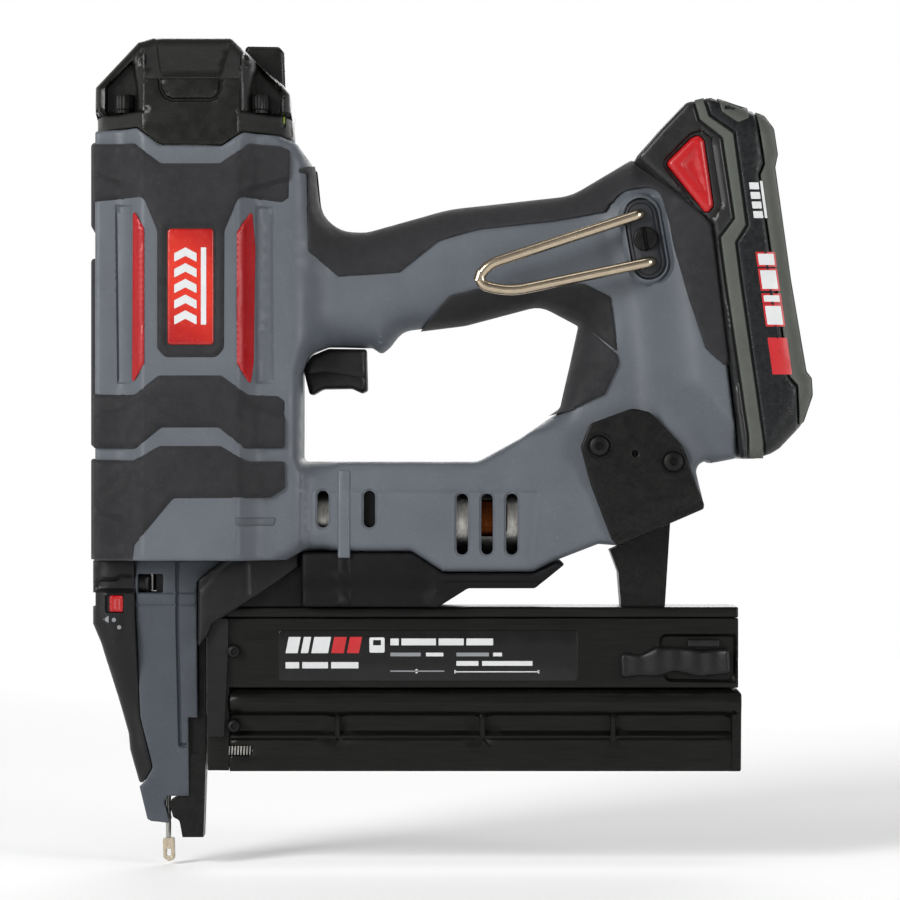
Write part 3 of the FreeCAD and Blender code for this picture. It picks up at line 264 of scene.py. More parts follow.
def slab(points, triangles, left, right):
    """Vertices and faces between two faces over the same triangles, with a wall round the rim."""
    count = len(points)
    vertices = np.concatenate([
        np.stack([points[:, 0], left, points[:, 1]], 1), np.stack([points[:, 0], right, points[:, 1]], 1)])
    pairs = np.concatenate([triangles[:, [0, 1]], triangles[:, [1, 2]], triangles[:, [2, 0]]])
    known = {(int(a), int(b)) for a, b in pairs}
    rim = [(a, b) for a, b in known if (b, a) not in known]
    faces = [tuple(t) for t in triangles] + [tuple(t[::-1] + count) for t in triangles]
    faces += [(b, a, a + count, b + count) for a, b in sorted(rim)]
    return vertices, faces


FLAT = [(0, 0)]
ROUND = [(0, -1), (0.1, -0.57), (0.3, -0.29), (0.6, -0.08), (1, 0)]


def edge_profile(reach, drop):
    """A rounded edge, as (distance inwards of the outline, height) points."""
    return [(d * reach, h * drop) for d, h in ROUND]


def skin(name, outline, height, material, body="tool", back=0.0, holes=(), profile=None, edge=(0.8, 0.8),
         spacing=3.0, creases=(), sides=SIDES, through=False, replaces=(), step=2.4,
         limits=None, limit_rings=()):
    """One piece with an outer face on each named side; a through piece joins both faces.

    The rim follows the profile, or else an edge of (reach, drop) rounded over.
    """
    loops = [trace(outline, step)] + [trace(hole, min(step, 1.2)) for hole in holes]
    profile = profile or edge_profile(*edge)
    reach, drop = zip(*profile)
    points, triangles, gap = fill(loops, reach, spacing, creases, limits, limit_rings)
    x, z = points.T
    lift = np.interp(gap, reach, drop)
    top = height(x, z, gap) if callable(height) else np.full(len(points), float(height))
    top = np.maximum(top + lift, 0)
    under = back(x, z) if callable(back) else np.full(len(points), float(back))
    under = np.maximum(np.minimum(under, top - 0.3), 0)
    worn_rim = np.exp(-gap / 0.7)
    vertices, faces, worn, base = [], [], [], 0
    if through:
        parts = [(-top, top)]
    else:
        parts = [(-top, -under) if side < 0 else (under, top) for side in sides]
    for left, right in parts:
        more, loops_of = slab(points, triangles, left, right)
        vertices.append(more)
        faces += [tuple(int(i) + base for i in f) for f in loops_of]
        worn += [worn_rim, worn_rim]
        base += len(more)
    thing = mesh_object(name, np.concatenate(vertices), faces, np.concatenate(worn))
    return dress(thing, body, material, replaces)


def dress(thing, body, material, replaces=()):
    """Gives a piece its material and body."""
    thing.data.materials.clear()
    thing.data.materials.append(material)
    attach(thing, body)
    if replaces:
        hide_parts(*replaces)
    return thing


def hoop_faces(rows, count):
    """The faces of a closed body made of rows of count points each."""
    faces = []
    for row in range(rows - 1):
        for k in range(count):
            a, b = row * count + k, row * count + (k + 1) % count
            faces.append((a, b, b + count, a + count))
    faces.append(tuple(reversed(range(count))))
    faces.append(tuple((rows - 1) * count + k for k in range(count)))
    return faces


def lathe(name, profile, centre, axis, material, body="tool", count=48, replaces=(), knurl=0.0):
    """A turned piece from (radius, along) points about an axis through centre."""
    along = Vector(axis).normalized()
    across = along.orthogonal().normalized()
    other = along.cross(across)
    vertices = []
    for radius, reach in profile:
        for k in range(count):
            angle = 2 * math.pi * k / count
            spoke = across * math.cos(angle) + other * math.sin(angle)
            vertices.append(Vector(centre) + along * reach + spoke * radius * (1 - knurl * (k % 4 > 1)))
    thing = mesh_object(name, [tuple(v) for v in vertices], hoop_faces(len(profile), count), sharp=32)
    return dress(thing, body, material, replaces)


def tube(name, corners, radius, material, body="tool", count=20, replaces=()):
    """A bent wire through (x, y, z, bend radius) corners, each bend a smooth curve."""
    places = [Vector(c[:3]) for c in corners]
    path = [places[0]]
    for index in range(1, len(corners) - 1):
        here = places[index]
        reach = corners[index][3]
        start = here + (places[index - 1] - here).normalized() * reach
        end = here + (places[index + 1] - here).normalized() * reach
        for k in range(BEND_STEPS + 1):
            t = k / BEND_STEPS
            path.append(start * (1 - t) ** 2 + here * 2 * t * (1 - t) + end * t * t)
    path.append(places[-1])
    across, vertices = Vector((0.3, 0.9, 0.2)), []
    for index, place in enumerate(path):
        ahead = (path[min(index + 1, len(path) - 1)] - path[max(index - 1, 0)]).normalized()
        across = (across - ahead * across.dot(ahead)).normalized()
        other = ahead.cross(across)
        for k in range(count):
            angle = 2 * math.pi * k / count
            vertices.append(place + across * math.cos(angle) * radius + other * math.sin(angle) * radius)
    thing = mesh_object(name, [tuple(v) for v in vertices], hoop_faces(len(path), count), sharp=50)
    return dress(thing, body, material, replaces)


def ramp(u, soft=1.2):
    """The positive part of u, with a soft corner."""
    return 0.5 * (u + np.sqrt(u * u + soft * soft)) - 0.25 * soft * np.exp(-(u / soft) ** 2)


def smooth_step(u):
    u = np.clip(u, 0, 1)
    return u * u * (3 - 2 * u)


def larger(a, b, soft):
    """The larger of two heights, with a fillet between them."""
    return 0.5 * (a + b + np.sqrt((a - b) ** 2 + soft * soft))


def octagon(x, grow=0.0, soft=1.0):
    """Half width of the barrel's eight-sided section at x."""
    return BARREL_HALF + grow - ramp(np.abs(x - BARREL_X) - BARREL_FLAT - 0.4 * grow, soft)


def over_barrel(lift):
    """A height that stands off the barrel's section by lift."""
    return lambda x, z=None, gap=None: octagon(x) + lift


def barrel_and_web(x):
    """Half width of the barrel, run into the web behind it."""
    return larger(octagon(x), WEB_HALF - ramp(x + 61, 5), 1.2)


def shifted(height, lift):
    """Another height moved out by lift."""
    return lambda x, z, gap=0: height(x, z, gap) + lift


def round_over(gap, reach):
    """How much of a rounded edge's drop is left at each distance from the edge, from 1 down to 0."""
    share = 1 - np.minimum(gap / reach, 1)
    return 1 - np.sqrt(np.maximum(1 - share * share, 0))


def gap_to(x, z, loops):
    return distance(np.stack([x, z], 1), loops)


BARREL_CREASES = [p for x in BARREL_EDGES for p in crease(x, -112, x, 46, 2.2, (-1.4, -0.5, 0.5, 1.4))]

# ---------------------------------------------------------------- materials


def linear(value):
    """An sRGB hex colour as linear numbers."""
    parts = [int(value[k:k + 2], 16) / 255 for k in (1, 3, 5)]
    return [p / 12.92 if p <= 0.04045 else ((p + 0.055) / 1.055) ** 2.4 for p in parts] + [1.0]


class Finish:
    """A procedural material on the Principled shader, in the piece's own coordinates."""

    def __init__(self, name, roughness=0.5, metallic=0.0, coat=0.0, sheen=0.0, specular=0.5,
                 coat_roughness=0.2):
        self.material = bpy.data.materials.new(name)
        self.material.use_nodes = True
        self.tree = self.material.node_tree
        self.shader = self.tree.nodes["Principled BSDF"]
        self.shader.inputs["Metallic"].default_value = metallic
        self.shader.inputs["Roughness"].default_value = roughness
        self.shader.inputs["Specular IOR Level"].default_value = specular
        self.shader.inputs["Coat Weight"].default_value = coat
        self.shader.inputs["Coat Roughness"].default_value = coat_roughness
        self.shader.inputs["Sheen Weight"].default_value = sheen
        self.place = self.tree.nodes.new("ShaderNodeTexCoord").outputs["Object"]
        self.bump = None

    def link(self, start, end):
        self.tree.links.new(start, end)

    def feed(self, value, socket):
        """Gives a socket a link or a plain value."""
        if isinstance(value, bpy.types.NodeSocket):
            self.link(value, socket)
        else:
            socket.default_value = value

    def stretched(self, scale):
        node = self.tree.nodes.new("ShaderNodeMapping")
        node.inputs["Scale"].default_value = scale
        self.link(self.place, node.inputs["Vector"])
        return node.outputs["Vector"]

    def noise(self, size_mm, detail=3.0, stretch=None, roughness=0.55):
        node = self.tree.nodes.new("ShaderNodeTexNoise")
        node.inputs["Scale"].default_value = 1000 / size_mm
        node.inputs["Detail"].default_value = detail
        node.inputs["Roughness"].default_value = roughness
        self.link(self.stretched(stretch) if stretch else self.place, node.inputs["Vector"])
        return node.outputs["Fac"]

    def cells(self, size_mm):
        node = self.tree.nodes.new("ShaderNodeTexVoronoi")
        node.inputs["Scale"].default_value = 1000 / size_mm
        self.link(self.place, node.inputs["Vector"])
        return node.outputs["Distance"]

    def spread(self, value, low, high, to_low, to_high):
        node = self.tree.nodes.new("ShaderNodeMapRange")
        node.interpolation_type = "SMOOTHSTEP"
        for key, number in zip(("From Min", "From Max", "To Min", "To Max"), (low, high, to_low, to_high)):
            node.inputs[key].default_value = number
        self.link(value, node.inputs["Value"])
        return node.outputs["Result"]

    def mix(self, factor, first, second):
        node = self.tree.nodes.new("ShaderNodeMix")
        node.data_type = "RGBA"
        self.link(factor, node.inputs["Factor"])
        for value, socket in ((first, node.inputs[6]), (second, node.inputs[7])):
            self.feed(value, socket)
        return node.outputs[2]

    def math(self, operation, first, second):
        node = self.tree.nodes.new("ShaderNodeMath")
        node.operation = operation
        for value, socket in zip((first, second), node.inputs):
            self.feed(value, socket)
        return node.outputs[0]

    def worn_edge(self, share):
        node = self.tree.nodes.new("ShaderNodeAttribute")
        node.attribute_name = "edge"
        rough = self.spread(self.noise(3.5, 4), 0.38, 0.66, 0.25, 1.0)
        return self.math("MULTIPLY", self.math("MULTIPLY", node.outputs["Fac"], rough), share)

    def raise_by(self, value, depth_mm, strength=1.0):
        node = self.tree.nodes.new("ShaderNodeBump")
        node.inputs["Strength"].default_value = strength
        node.inputs["Distance"].default_value = depth_mm * MM
        self.link(value, node.inputs["Height"])
        if self.bump is not None:
            self.link(self.bump, node.inputs["Normal"])
        self.bump = node.outputs["Normal"]

    def finish(self, colour, roughness=None):
        self.link(colour, self.shader.inputs["Base Color"])
        if roughness is not None:
            self.link(roughness, self.shader.inputs["Roughness"])
        if self.bump is not None:
            self.link(self.bump, self.shader.inputs["Normal"])
        return self.material


def plastic(name, dark, light, rough=(0.42, 0.56), grain=0.45, depth=0.03, edge=0.35, edge_colour=None,
            coat=0.0, specular=0.5, blotch=26.0):
    """Moulded plastic: a spark-eroded grain, faint flow mottling and edges rubbed lighter."""
    made = Finish(name, coat=coat, specular=specular)
    flow = made.noise(blotch, 4)
    speck = made.noise(1.1, 2)
    base = made.mix(made.spread(flow, 0.15, 0.85, 0, 1), linear(dark), linear(light))
    base = made.mix(made.spread(speck, 0.55, 0.8, 0, 0.22), base, linear(edge_colour or light))
    base = made.mix(made.worn_edge(edge), base, linear(edge_colour or light))
    made.raise_by(made.noise(grain, 3, roughness=0.6), depth)
    return made.finish(base, made.spread(made.noise(5, 3), 0.3, 0.7, *rough))


def metal(name, dark, light, rough=(0.25, 0.4), metallic=1.0, stretch=None, size=0.6, depth=0.01,
          specular=0.5):
    """Worked metal: fine streaks along the way it was drawn or ground, and faint staining."""
    made = Finish(name, metallic=metallic, specular=specular)
    streak = made.noise(size, 4, stretch)
    stain = made.noise(9, 4)
    base = made.mix(made.spread(streak, 0.3, 0.7, 0, 1), linear(dark), linear(light))
    base = made.mix(made.spread(stain, 0.5, 0.85, 0, 0.35), base, linear(dark))
    made.raise_by(streak, depth)
    return made.finish(base, made.spread(made.noise(4, 4, stretch), 0.3, 0.7, *rough))


def rubber(name, dark, light, rough=(0.62, 0.8)):
    """Soft overmoulding: a close matt grain, faint sheen and dusty edges."""
    made = Finish(name, sheen=0.08, specular=0.22)
    base = made.mix(made.spread(made.noise(30, 3), 0.1, 0.9, 0, 1), linear(dark), linear(light))
    base = made.mix(made.spread(made.noise(0.8, 2), 0.55, 0.8, 0, 0.3), base, linear("#38393b"))
    base = made.mix(made.worn_edge(0.3), base, linear("#424346"))
    made.raise_by(made.noise(0.5, 3, roughness=0.65), 0.05)
    return made.finish(base, made.spread(made.noise(4, 3), 0.3, 0.7, *rough))


def leather_plastic(name, dark, light):
    """The battery's coarse pebbled texture."""
    made = Finish(name, specular=0.3)
    pebble = made.cells(0.95)
    base = made.mix(made.spread(made.noise(1.3, 3), 0.4, 0.75, 0, 1), linear(dark), linear(light))
    base = made.mix(made.worn_edge(0.3), base, linear("#2a2c2f"))
    made.raise_by(pebble, 0.12, 0.8)
    made.raise_by(made.noise(0.35, 2), 0.03)
    return made.finish(base, made.spread(made.noise(2, 3), 0.3, 0.7, 0.34, 0.52))


def clear(name):
    """A translucent amber moulding, milky inside and faintly clouded."""
    made = Finish(name, roughness=0.2, specular=0.5)
    made.shader.inputs["Transmission Weight"].default_value = 0.35
    base = made.mix(made.spread(made.noise(2.5, 3), 0.35, 0.7, 0, 1), linear("#b5a78f"), linear("#c9bda8"))
    made.raise_by(made.noise(0.7, 2), 0.01)
    return made.finish(base, made.spread(made.noise(1.5, 3), 0.3, 0.7, 0.14, 0.3))


def foil(name):
    """Red foil with a painted orange highlight along a soft slanting line, and painted shade that deepens the
    red towards its ends.
    """
    made = Finish(name, roughness=0.24, coat=0.2, specular=0.35)
    parts = made.tree.nodes.new("ShaderNodeSeparateXYZ")
    made.link(made.place, parts.inputs["Vector"])
    slant = made.math("ADD", made.math("MULTIPLY", parts.outputs["X"], 0.5), parts.outputs["Z"])
    level = made.math("ABSOLUTE", made.math("ADD", slant, 0.058), 0.0)
    # painted highlight and painted shade: orange near the slanting line, deep red away from it
    base = made.mix(made.spread(level, 0.004, 0.026, 0, 1), linear("#bc2a1a"), linear("#930c0f"))
    # the rim is darkened to a deep red
    base = made.mix(made.worn_edge(0.4), base, linear("#5a070a"))
    base = made.mix(made.spread(made.noise(2, 3), 0.45, 0.8, 0, 0.12), base, linear("#c84a30"))
    made.raise_by(made.noise(0.8, 2), 0.006)
    return made.finish(base, made.spread(made.noise(3, 3), 0.3, 0.7, 0.18, 0.3))


GREY = plastic("grey_nylon", "#484c52", "#50555b", edge_colour="#6a7077", specular=0.4)
# a darker copy of the body grey: painted shade, used on the gill strip below the lower pad
GREY_DARK = plastic("grey_recess_shade", "#3e4247", "#474b50", edge_colour="#5c6167", specular=0.35)
# a darker copy of the body grey: painted shade for the less lit nose
GREY_NOSE = plastic("grey_nose_shaded", "#373b41", "#3e4349", edge_colour="#565c63", specular=0.3)
# a darker copy of the black nylon: painted shade for the shield and the pieces under the body
SHADE = plastic("shield_shade_nylon", "#060607", "#0b0b0c", rough=(0.42, 0.55), edge_colour="#202123",
                specular=0.15)
BLACK = plastic("black_nylon", "#0c0c0d", "#131314", rough=(0.34, 0.48), edge_colour="#26272a", specular=0.24)
CAP = plastic("cap_nylon", "#070706", "#0f0f0d", rough=(0.27, 0.38), grain=0.7, depth=0.05,
              edge_colour="#33332d", specular=0.3)
TRIM = plastic("trim_nylon", "#3b3e39", "#454842", rough=(0.5, 0.62), edge_colour="#5c6058", specular=0.35)
SEAT = plastic("seat_nylon", "#202124", "#28292d", rough=(0.45, 0.58), edge_colour="#3b3c40", specular=0.3)
RUBBER = rubber("overmould", "#1b1b1d", "#222224")
RUBBER_DARK = rubber("overmould_dark", "#151516", "#1c1c1d")
BATTERY = leather_plastic("battery_pebble", "#050608", "#101215")
BATTERY_SATIN = plastic("battery_satin", "#0d0d0d", "#161716", rough=(0.28, 0.4), edge_colour="#323336",
                        specular=0.4)
RED = plastic("red_nylon", "#960a10", "#a60f14", rough=(0.25, 0.36), grain=0.8, depth=0.015,
              edge_colour="#c4373a", coat=0.15, specular=0.35)
RED_DEEP = plastic("red_strip", "#86060b", "#960a10", rough=(0.3, 0.4), grain=0.7, depth=0.015,
                   edge_colour="#bf3539", specular=0.3)
MAGAZINE = metal("anodised_black", "#070706", "#131311", rough=(0.3, 0.42), metallic=0.25, specular=0.24,
                 stretch=(0.03, 1, 1), size=0.5, depth=0.008)
STEEL_BLACK = metal("black_oxide", "#0b0a0a", "#161514", rough=(0.32, 0.46), metallic=0.35, size=1.2,
                    specular=0.28)
STEEL = metal("bright_steel", "#8d8c88", "#b4b2ac", stretch=(1, 1, 0.1))
ALUMINIUM = metal("cast_aluminium", "#a3a3a0", "#c2c2bd", rough=(0.35, 0.5))
NICKEL = metal("champagne_nickel", "#b0a18b", "#c0b19b", rough=(0.2, 0.26), stretch=(0.15, 1, 1),
               size=0.5, depth=0.0008)
BRASS = metal("brass", "#a58238", "#cdaa58", rough=(0.22, 0.36))
BOARD = plastic("fibreglass_board", "#1c4a2e", "#27603c", rough=(0.3, 0.4))
INK_WHITE = plastic("white_ink", "#b4b5b6", "#c0c1c1", rough=(0.4, 0.5), grain=0.6, depth=0.004, edge=0.0)
INK_RED = plastic("red_ink", "#a01319", "#ab181e", rough=(0.35, 0.45), grain=0.6, depth=0.004, edge=0.0)
INK_GREY = plastic("grey_ink", "#6d6f72", "#7a7c7f", rough=(0.4, 0.5), grain=0.6, depth=0.004, edge=0.0)
LABEL = plastic("label_film", "#040404", "#080808", rough=(0.16, 0.24), grain=2.5, depth=0.004, edge=0.15,
                specular=0.35)
COPPER = metal("enamelled_copper", "#3a1c0c", "#6e3a1a", rough=(0.3, 0.45), stretch=(1, 6, 6), size=0.8,
               depth=0.05)
CLEAR = clear("clear_tip")
FOIL = foil("badge_foil")
GREEN = plastic("gauge_green", "#6f8420", "#7e942a", rough=(0.3, 0.4))

# The finishes of each slot; the first is the one that CAD nodes get.
SLOT_FINISHES = {
    "bumper_rubber": (RUBBER_DARK,), "cell_wrap": (INK_GREY,), "aluminium": (ALUMINIUM,), "board": (BOARD,),
    "housing": (GREY, GREY_DARK, GREY_NOSE), "rubber": (RUBBER, RUBBER_DARK),
    "red_plastic": (RED, RED_DEEP, FOIL), "black_steel": (STEEL_BLACK,),
    "black_plastic": (BLACK, SHADE, CAP, SEAT, BATTERY, BATTERY_SATIN, MAGAZINE),
    "steel": (STEEL,), "brass": (BRASS, COPPER), "nickel_wire": (NICKEL,), "trim_plastic": (TRIM,),
    "clear_tip": (CLEAR,), "label": (LABEL, INK_WHITE, INK_RED, INK_GREY, GREEN),
}


def signed(x, z, outline, step=1.5):
    """Distance to an outline, positive inside it."""
    points = np.stack([x, z], 1)
    loop = trace(outline, step)
    return np.where(inside(points, [loop]), 1, -1) * distance(points, [loop])


def sunk(x, z, outline, depth, wall=0.7):
    """Depth of a pocket with soft walls, cut to an outline."""
    return depth * smooth_step(signed(x, z, outline) / wall)


def along(x, z, line):
    """Distance to an open polyline."""
    best = np.full(len(x), 1e9)
    for (ax, az), (bx, bz) in zip(line, line[1:]):
        dx, dz = bx - ax, bz - az
        share = np.clip(((x - ax) * dx + (z - az) * dz) / (dx * dx + dz * dz), 0, 1)
        best = np.minimum(best, np.hypot(x - ax - share * dx, z - az - share * dz))
    return best


def groove(x, z, line, width, depth):
    """Depth of a rounded groove along a polyline."""
    return depth * smooth_step(1.35 - along(x, z, line) / (width / 2))


def line_creases(line, step=1.3, beside=(-0.8, -0.3, 0.3, 0.8)):
    return [p for (ax, az), (bx, bz) in zip(line, line[1:]) for p in crease(ax, az, bx, bz, step, beside)]


def rim_creases(outline, step=1.5, rings=(0.01, 0.35, 0.8)):
    """Rows of points on and just inside an outline."""
    loop = trace(outline, step)
    return [p for row in [loop] + offset_rows([loop], rings) for p in row]


def grown(loop, by):
    """A loop moved to its right, which is outwards for a rim and into the opening for a hole."""
    return loop - leftwards(loop) * by


# ---------------------------------------------------------------- housing

HOUSING = [
    (-138, 50.4, 1), (-121.6, 51.2, 2), (-113, 44.6, 2), (-89.6, 44.3, 2), (-81.8, 49.6, 2),
    (-68, 48.8, 3), (-62, 46.2, 4), (-56.2, 38.2, 6), (-53.6, 13.6, 14), (-36, 12.6, 14), (-4, 21.6, 60),
    (43, 26.8, 24), (66, 40.5, 1), (94, 14.5, 2), (105, -73.2, 2), (96, -75, 2), (87.5, -69, 4),
    (93, -92.2, 2), (60, -106.4, 2), (52.5, -105.8, 2), (36.5, -112, 2), (28, -116.4, 2),
    (-6.5, -116.4, 2), (-18.5, -108.6, 2), (-60, -108.6, 2), (-66, -111.8), (-138, -111.8),
]
OPENING = [
    (-60.5, -74.5, 2), (-60.5, -41, 2), (-57.5, -33, 4), (-50.5, -30.6, 2), (-33.5, -31, 1.5),
    (-30, -33.4, 2), (-26.6, -30.5, 3), (-22, -24.5, 8), (2, -21.5, 20), (31, -13.8, 12),
    (46.5, -22, 2), (39.5, -54.5, 4), (23.5, -65.5, 12), (7, -74.6, 8),
]
ARM_SLOTS = [(-52, -92.5, 7), (-34.4, -92.5, 7), (0.8, -98.2, 11.6), (10.2, -98.2, 11.6), (19.6, -98.2, 11.6)]
VESSEL_RADIUS = 33.4
VESSEL_BOTTOM = -81.4
DRIVE_HALF = 18.8        # half width of the room for the motor and gears
SHELL_WALL = 2.2
RIM_WALL = 2.5
HOLLOW_ROOM = [(-132, -111.8), (-132, -81), (-70, -81), (-70, -77), (34, -77), (34, -111.8)]
RECESSES = [
    [(-130.4, 22.6, 0.6), (-123.4, 22.4, 0.6), (-123.4, -45.2, 0.6), (-129.6, -45.2, 0.6)],
    [(-77.4, 22.2, 0.6), (-70.6, 21.8, 0.6), (-70.4, -45.2, 0.6), (-77.2, -45.2, 0.6)],
]
HOOK_BOSS = [
    (55.2, 17, 6), (61.4, 27, 8), (74, 29.4, 6), (79.4, 10, 12), (80.4, -3.4, 8), (70.6, -11.4, 8),
    (60.4, -3, 10),
]
HOOK_SCREW = np.array([70.0, 9.8])
HOOK_UP, HOOK_ACROSS = np.array([-0.174, 0.985]), np.array([0.985, 0.174])


def hook_oval(reach, half):
    """A leaning capsule round the hook's screw."""
    corners = ((-reach, -half), (-reach, half), (reach, half), (reach, -half))
    places = [HOOK_SCREW + HOOK_UP * a + HOOK_ACROSS * b for a, b in corners]
    return [tuple(place) + (half * 0.98,) for place in places]


HOOK_RING = hook_oval(17.9, 8.7)
EDGE_RINGS = (0, 0.12, 0.5, 1.1, 2, 3.2, 5, 7.5, 10.5, 14, 17)


def seat_place(x, z):
    """Distance along the tool, measured square to the leaning battery seat."""
    return x + 0.125 * (z - 14.5)


def housing_flat(x, z):
    """Half width of the grey body before its edges are rounded."""
    low = smooth_step((-z - 34) / 26) * smooth_step((x + 62) / 8)
    arm = 23.4 - 0.26 * ramp(z + 85.8, 0.8)
    arm = arm + 0.9 * smooth_step((30.4 + 0.1 * (z + 90) - x) / 2.2) * smooth_step((-85.4 - z) / 1.0)
    middle = HANDLE_HALF * (1 - low) + arm * low
    flare = HANDLE_HALF + 17.5 * smooth_step((seat_place(x, z) - 58) / 27)
    valley = 22 + 0.8 * ramp((x - 60) * 0.763 + (z + 33) * 0.647, 3)
    seat = np.minimum(flare, valley) - 2 * smooth_step((60 - x) / 20)
    tail = larger(middle, seat, 1.5)
    return larger(tail, barrel_and_web(x), 2.5)


def housing_rounding(x, z, flat):
    """Reach and drop of the rounded edge: a full oval on the handle and small radii elsewhere."""
    oval = smooth_step((x + 60) / 16) * smooth_step((z + 58) / 22) * smooth_step((86 - seat_place(x, z)) / 18)
    column = smooth_step((x + 72) / 6) * smooth_step((-44 - x) / 8)
    low = smooth_step((-z - 60) / 12) * smooth_step((x + 62) / 4)
    reach = 1.6 + 3.6 * column + 1.4 * low
    drop = 1.6 + 6.4 * column + 3.4 * low
    strut = smooth_step((x - 24) / 10) * smooth_step((z + 68) / 8) * smooth_step((64 - x) / 8)
    reach, drop = reach + 5 * strut * (1 - oval), drop + 9 * strut * (1 - oval)
    return reach * (1 - oval) + 17 * oval, drop * (1 - oval) + flat * oval


def body_height(x, z, gap, extra=0.0):
    """Half width of the body, given the distance to its silhouette."""
    flat = housing_flat(x, z) + extra
    reach, drop = housing_rounding(x, z, flat)
    return flat - drop * round_over(gap, reach)


def housing_height(x, z, gap):
    height = body_height(x, z, gap_to(x, z, HOUSING_LOOPS))
    for outline in RECESSES:
        height = height - sunk(x, z, outline, 0.9, 0.8)
    height = height + 1.1 * smooth_step(signed(x, z, HOOK_BOSS) / 1.6) * smooth_step((80 - x) / 14)
    level = smooth_step(signed(x, z, HOOK_RING) / 1.4 + 0.3)
    height = height * (1 - level) + np.minimum(height, 25.4) * level
    for x0, z0, reach in ARM_SLOTS:
        height = height - sunk(x, z, slot_outline(x0, z0, reach, 3.1), 0.9, 0.8)
    height = height - groove(x, z, [(-60.1, -109), (-60.1, -75)], 0.8, 0.6)
    return height


def housing_back(x, z):
    """Inner face of the body, hollow over the pressure vessel and the drive."""
    vessel = np.sqrt(np.maximum(VESSEL_RADIUS ** 2 - (x - BARREL_X) ** 2, 0)) * (z > VESSEL_BOTTOM)
    drive = DRIVE_HALF * (signed(x, z, HOLLOW_ROOM) > 0)
    hollow = np.minimum(np.maximum(vessel, drive), housing_flat(x, z) - SHELL_WALL)
    return hollow * (gap_to(x, z, HOUSING_LOOPS) > RIM_WALL)


def slot_outline(x, z, reach, half=2.2):
    return rectangle(x - half, x + half, z - reach - half + 2.2, z + reach + half - 2.2, half * 0.99)


HOUSING_LOOPS = wound([trace(HOUSING), trace(OPENING)])
GROWN_LOOPS = [grown(HOUSING_LOOPS[0], 0.9), grown(HOUSING_LOOPS[1], 0.9)]
GROWN_LIMITS = [GROWN_LOOPS[0], GROWN_LOOPS[1][::-1]]

housing_creases = list(BARREL_CREASES)
for recess in RECESSES:
    housing_creases += rim_creases(recess)
for slot_place in ARM_SLOTS:
    housing_creases += rim_creases(slot_outline(*slot_place, 3.1), 1.2, (0.4, 0.8))
housing_creases += rim_creases(HOOK_RING, 1.4, (0.01, 0.5, 1)) + list(grown(trace(HOOK_RING, 1.4), 0.4))
housing_creases += crease(-60, -85.8, 30, -85.8, 2, (-0.7, 0, 0.7))
housing_creases += crease(30.8, -86, 28.4, -112, 2, (-1.2, 0, 1.2))
housing_creases += crease(-60.1, -109, -60.1, -75, 1.6, (-0.8, -0.3, 0.3, 0.8))

SLOT_HOLES = [slot_outline(*slot_place) for slot_place in ARM_SLOTS]
for name, side in (("housing_left", -1), ("housing_right", 1)):
    skin("skin_" + name, HOUSING, housing_height, GREY, back=housing_back, holes=[OPENING] + SLOT_HOLES,
         profile=[(r, 0) for r in EDGE_RINGS], spacing=3.2, creases=housing_creases, sides=(side,),
         replaces=(name,))


# ---------------------------------------------------------------- rubber over the handle

HANDLE_RUBBER = [
    (-66, 34.6, 1), (-57.8, 34.6, 0.8), (-57.5, 5.2, 1), (-46.4, -4.2, 1), (-23, -2.6, 1), (-8.5, 9.4, 3),
    (7, 14, 6), (35, 17, 10), (55.2, 20.4, 1), (61.4, 28.4, 8), (74.6, 30.2, 6), (78.8, 15, 6),
    (80.2, 7, 3), (86, -13.4, 3), (92.2, -32, 1.5), (98.8, -38, 1), (106, -38), (101, 15), (67, 48),
    (40, 34), (-4, 30), (-34, 22), (-48, 24), (-50, 40),
]
LOW_RUBBER = [
    (-15.6, -25, 0), (-3.8, -11.2, 3), (7, -8.6, 6), (26.6, -6.8, 10), (47.2, -6.6, 6), (57.4, -11.8, 2),
    (60, -33.4, 0.6), (58.2, -31.4, 4), (50.8, -25.4, 2), (45.4, -24.6, 1), (40, -30), (2, -34),
]
STRUT_RUBBER = [
    (45, -24, 0.8), (50.6, -25.6, 4), (59.8, -33.8, 1), (60.4, -37.4, 4), (55, -49, 2), (41.4, -55.2, 1),
    (34, -57), (38, -30),
]


def over_body(extra):
    """A height that stands off the grey body."""
    def height(x, z, gap):
        return body_height(x, z, gap_to(x, z, GROWN_LOOPS), extra)
    return height


def handle_skin(name, outline, material, extra=1.1, replaces=()):
    """Soft rubber over the handle."""
    skin(name, outline, over_body(extra), material,
         back=lambda x, z: body_height(x, z, gap_to(x, z, HOUSING_LOOPS)) - 1.2,
         profile=[(0, -1.3), (0.12, -0.62), (0.35, -0.3), (0.8, -0.07), (1.3, 0)], spacing=2.8,
         limits=GROWN_LIMITS, limit_rings=EDGE_RINGS, replaces=replaces)


handle_skin("grip_upper", HANDLE_RUBBER, RUBBER, replaces=("grip_rubber",))
handle_skin("grip_lower", LOW_RUBBER, RUBBER_DARK)
handle_skin("grip_strut", STRUT_RUBBER, RUBBER, extra=1.6)


# ---------------------------------------------------------------- rubber round the barrel

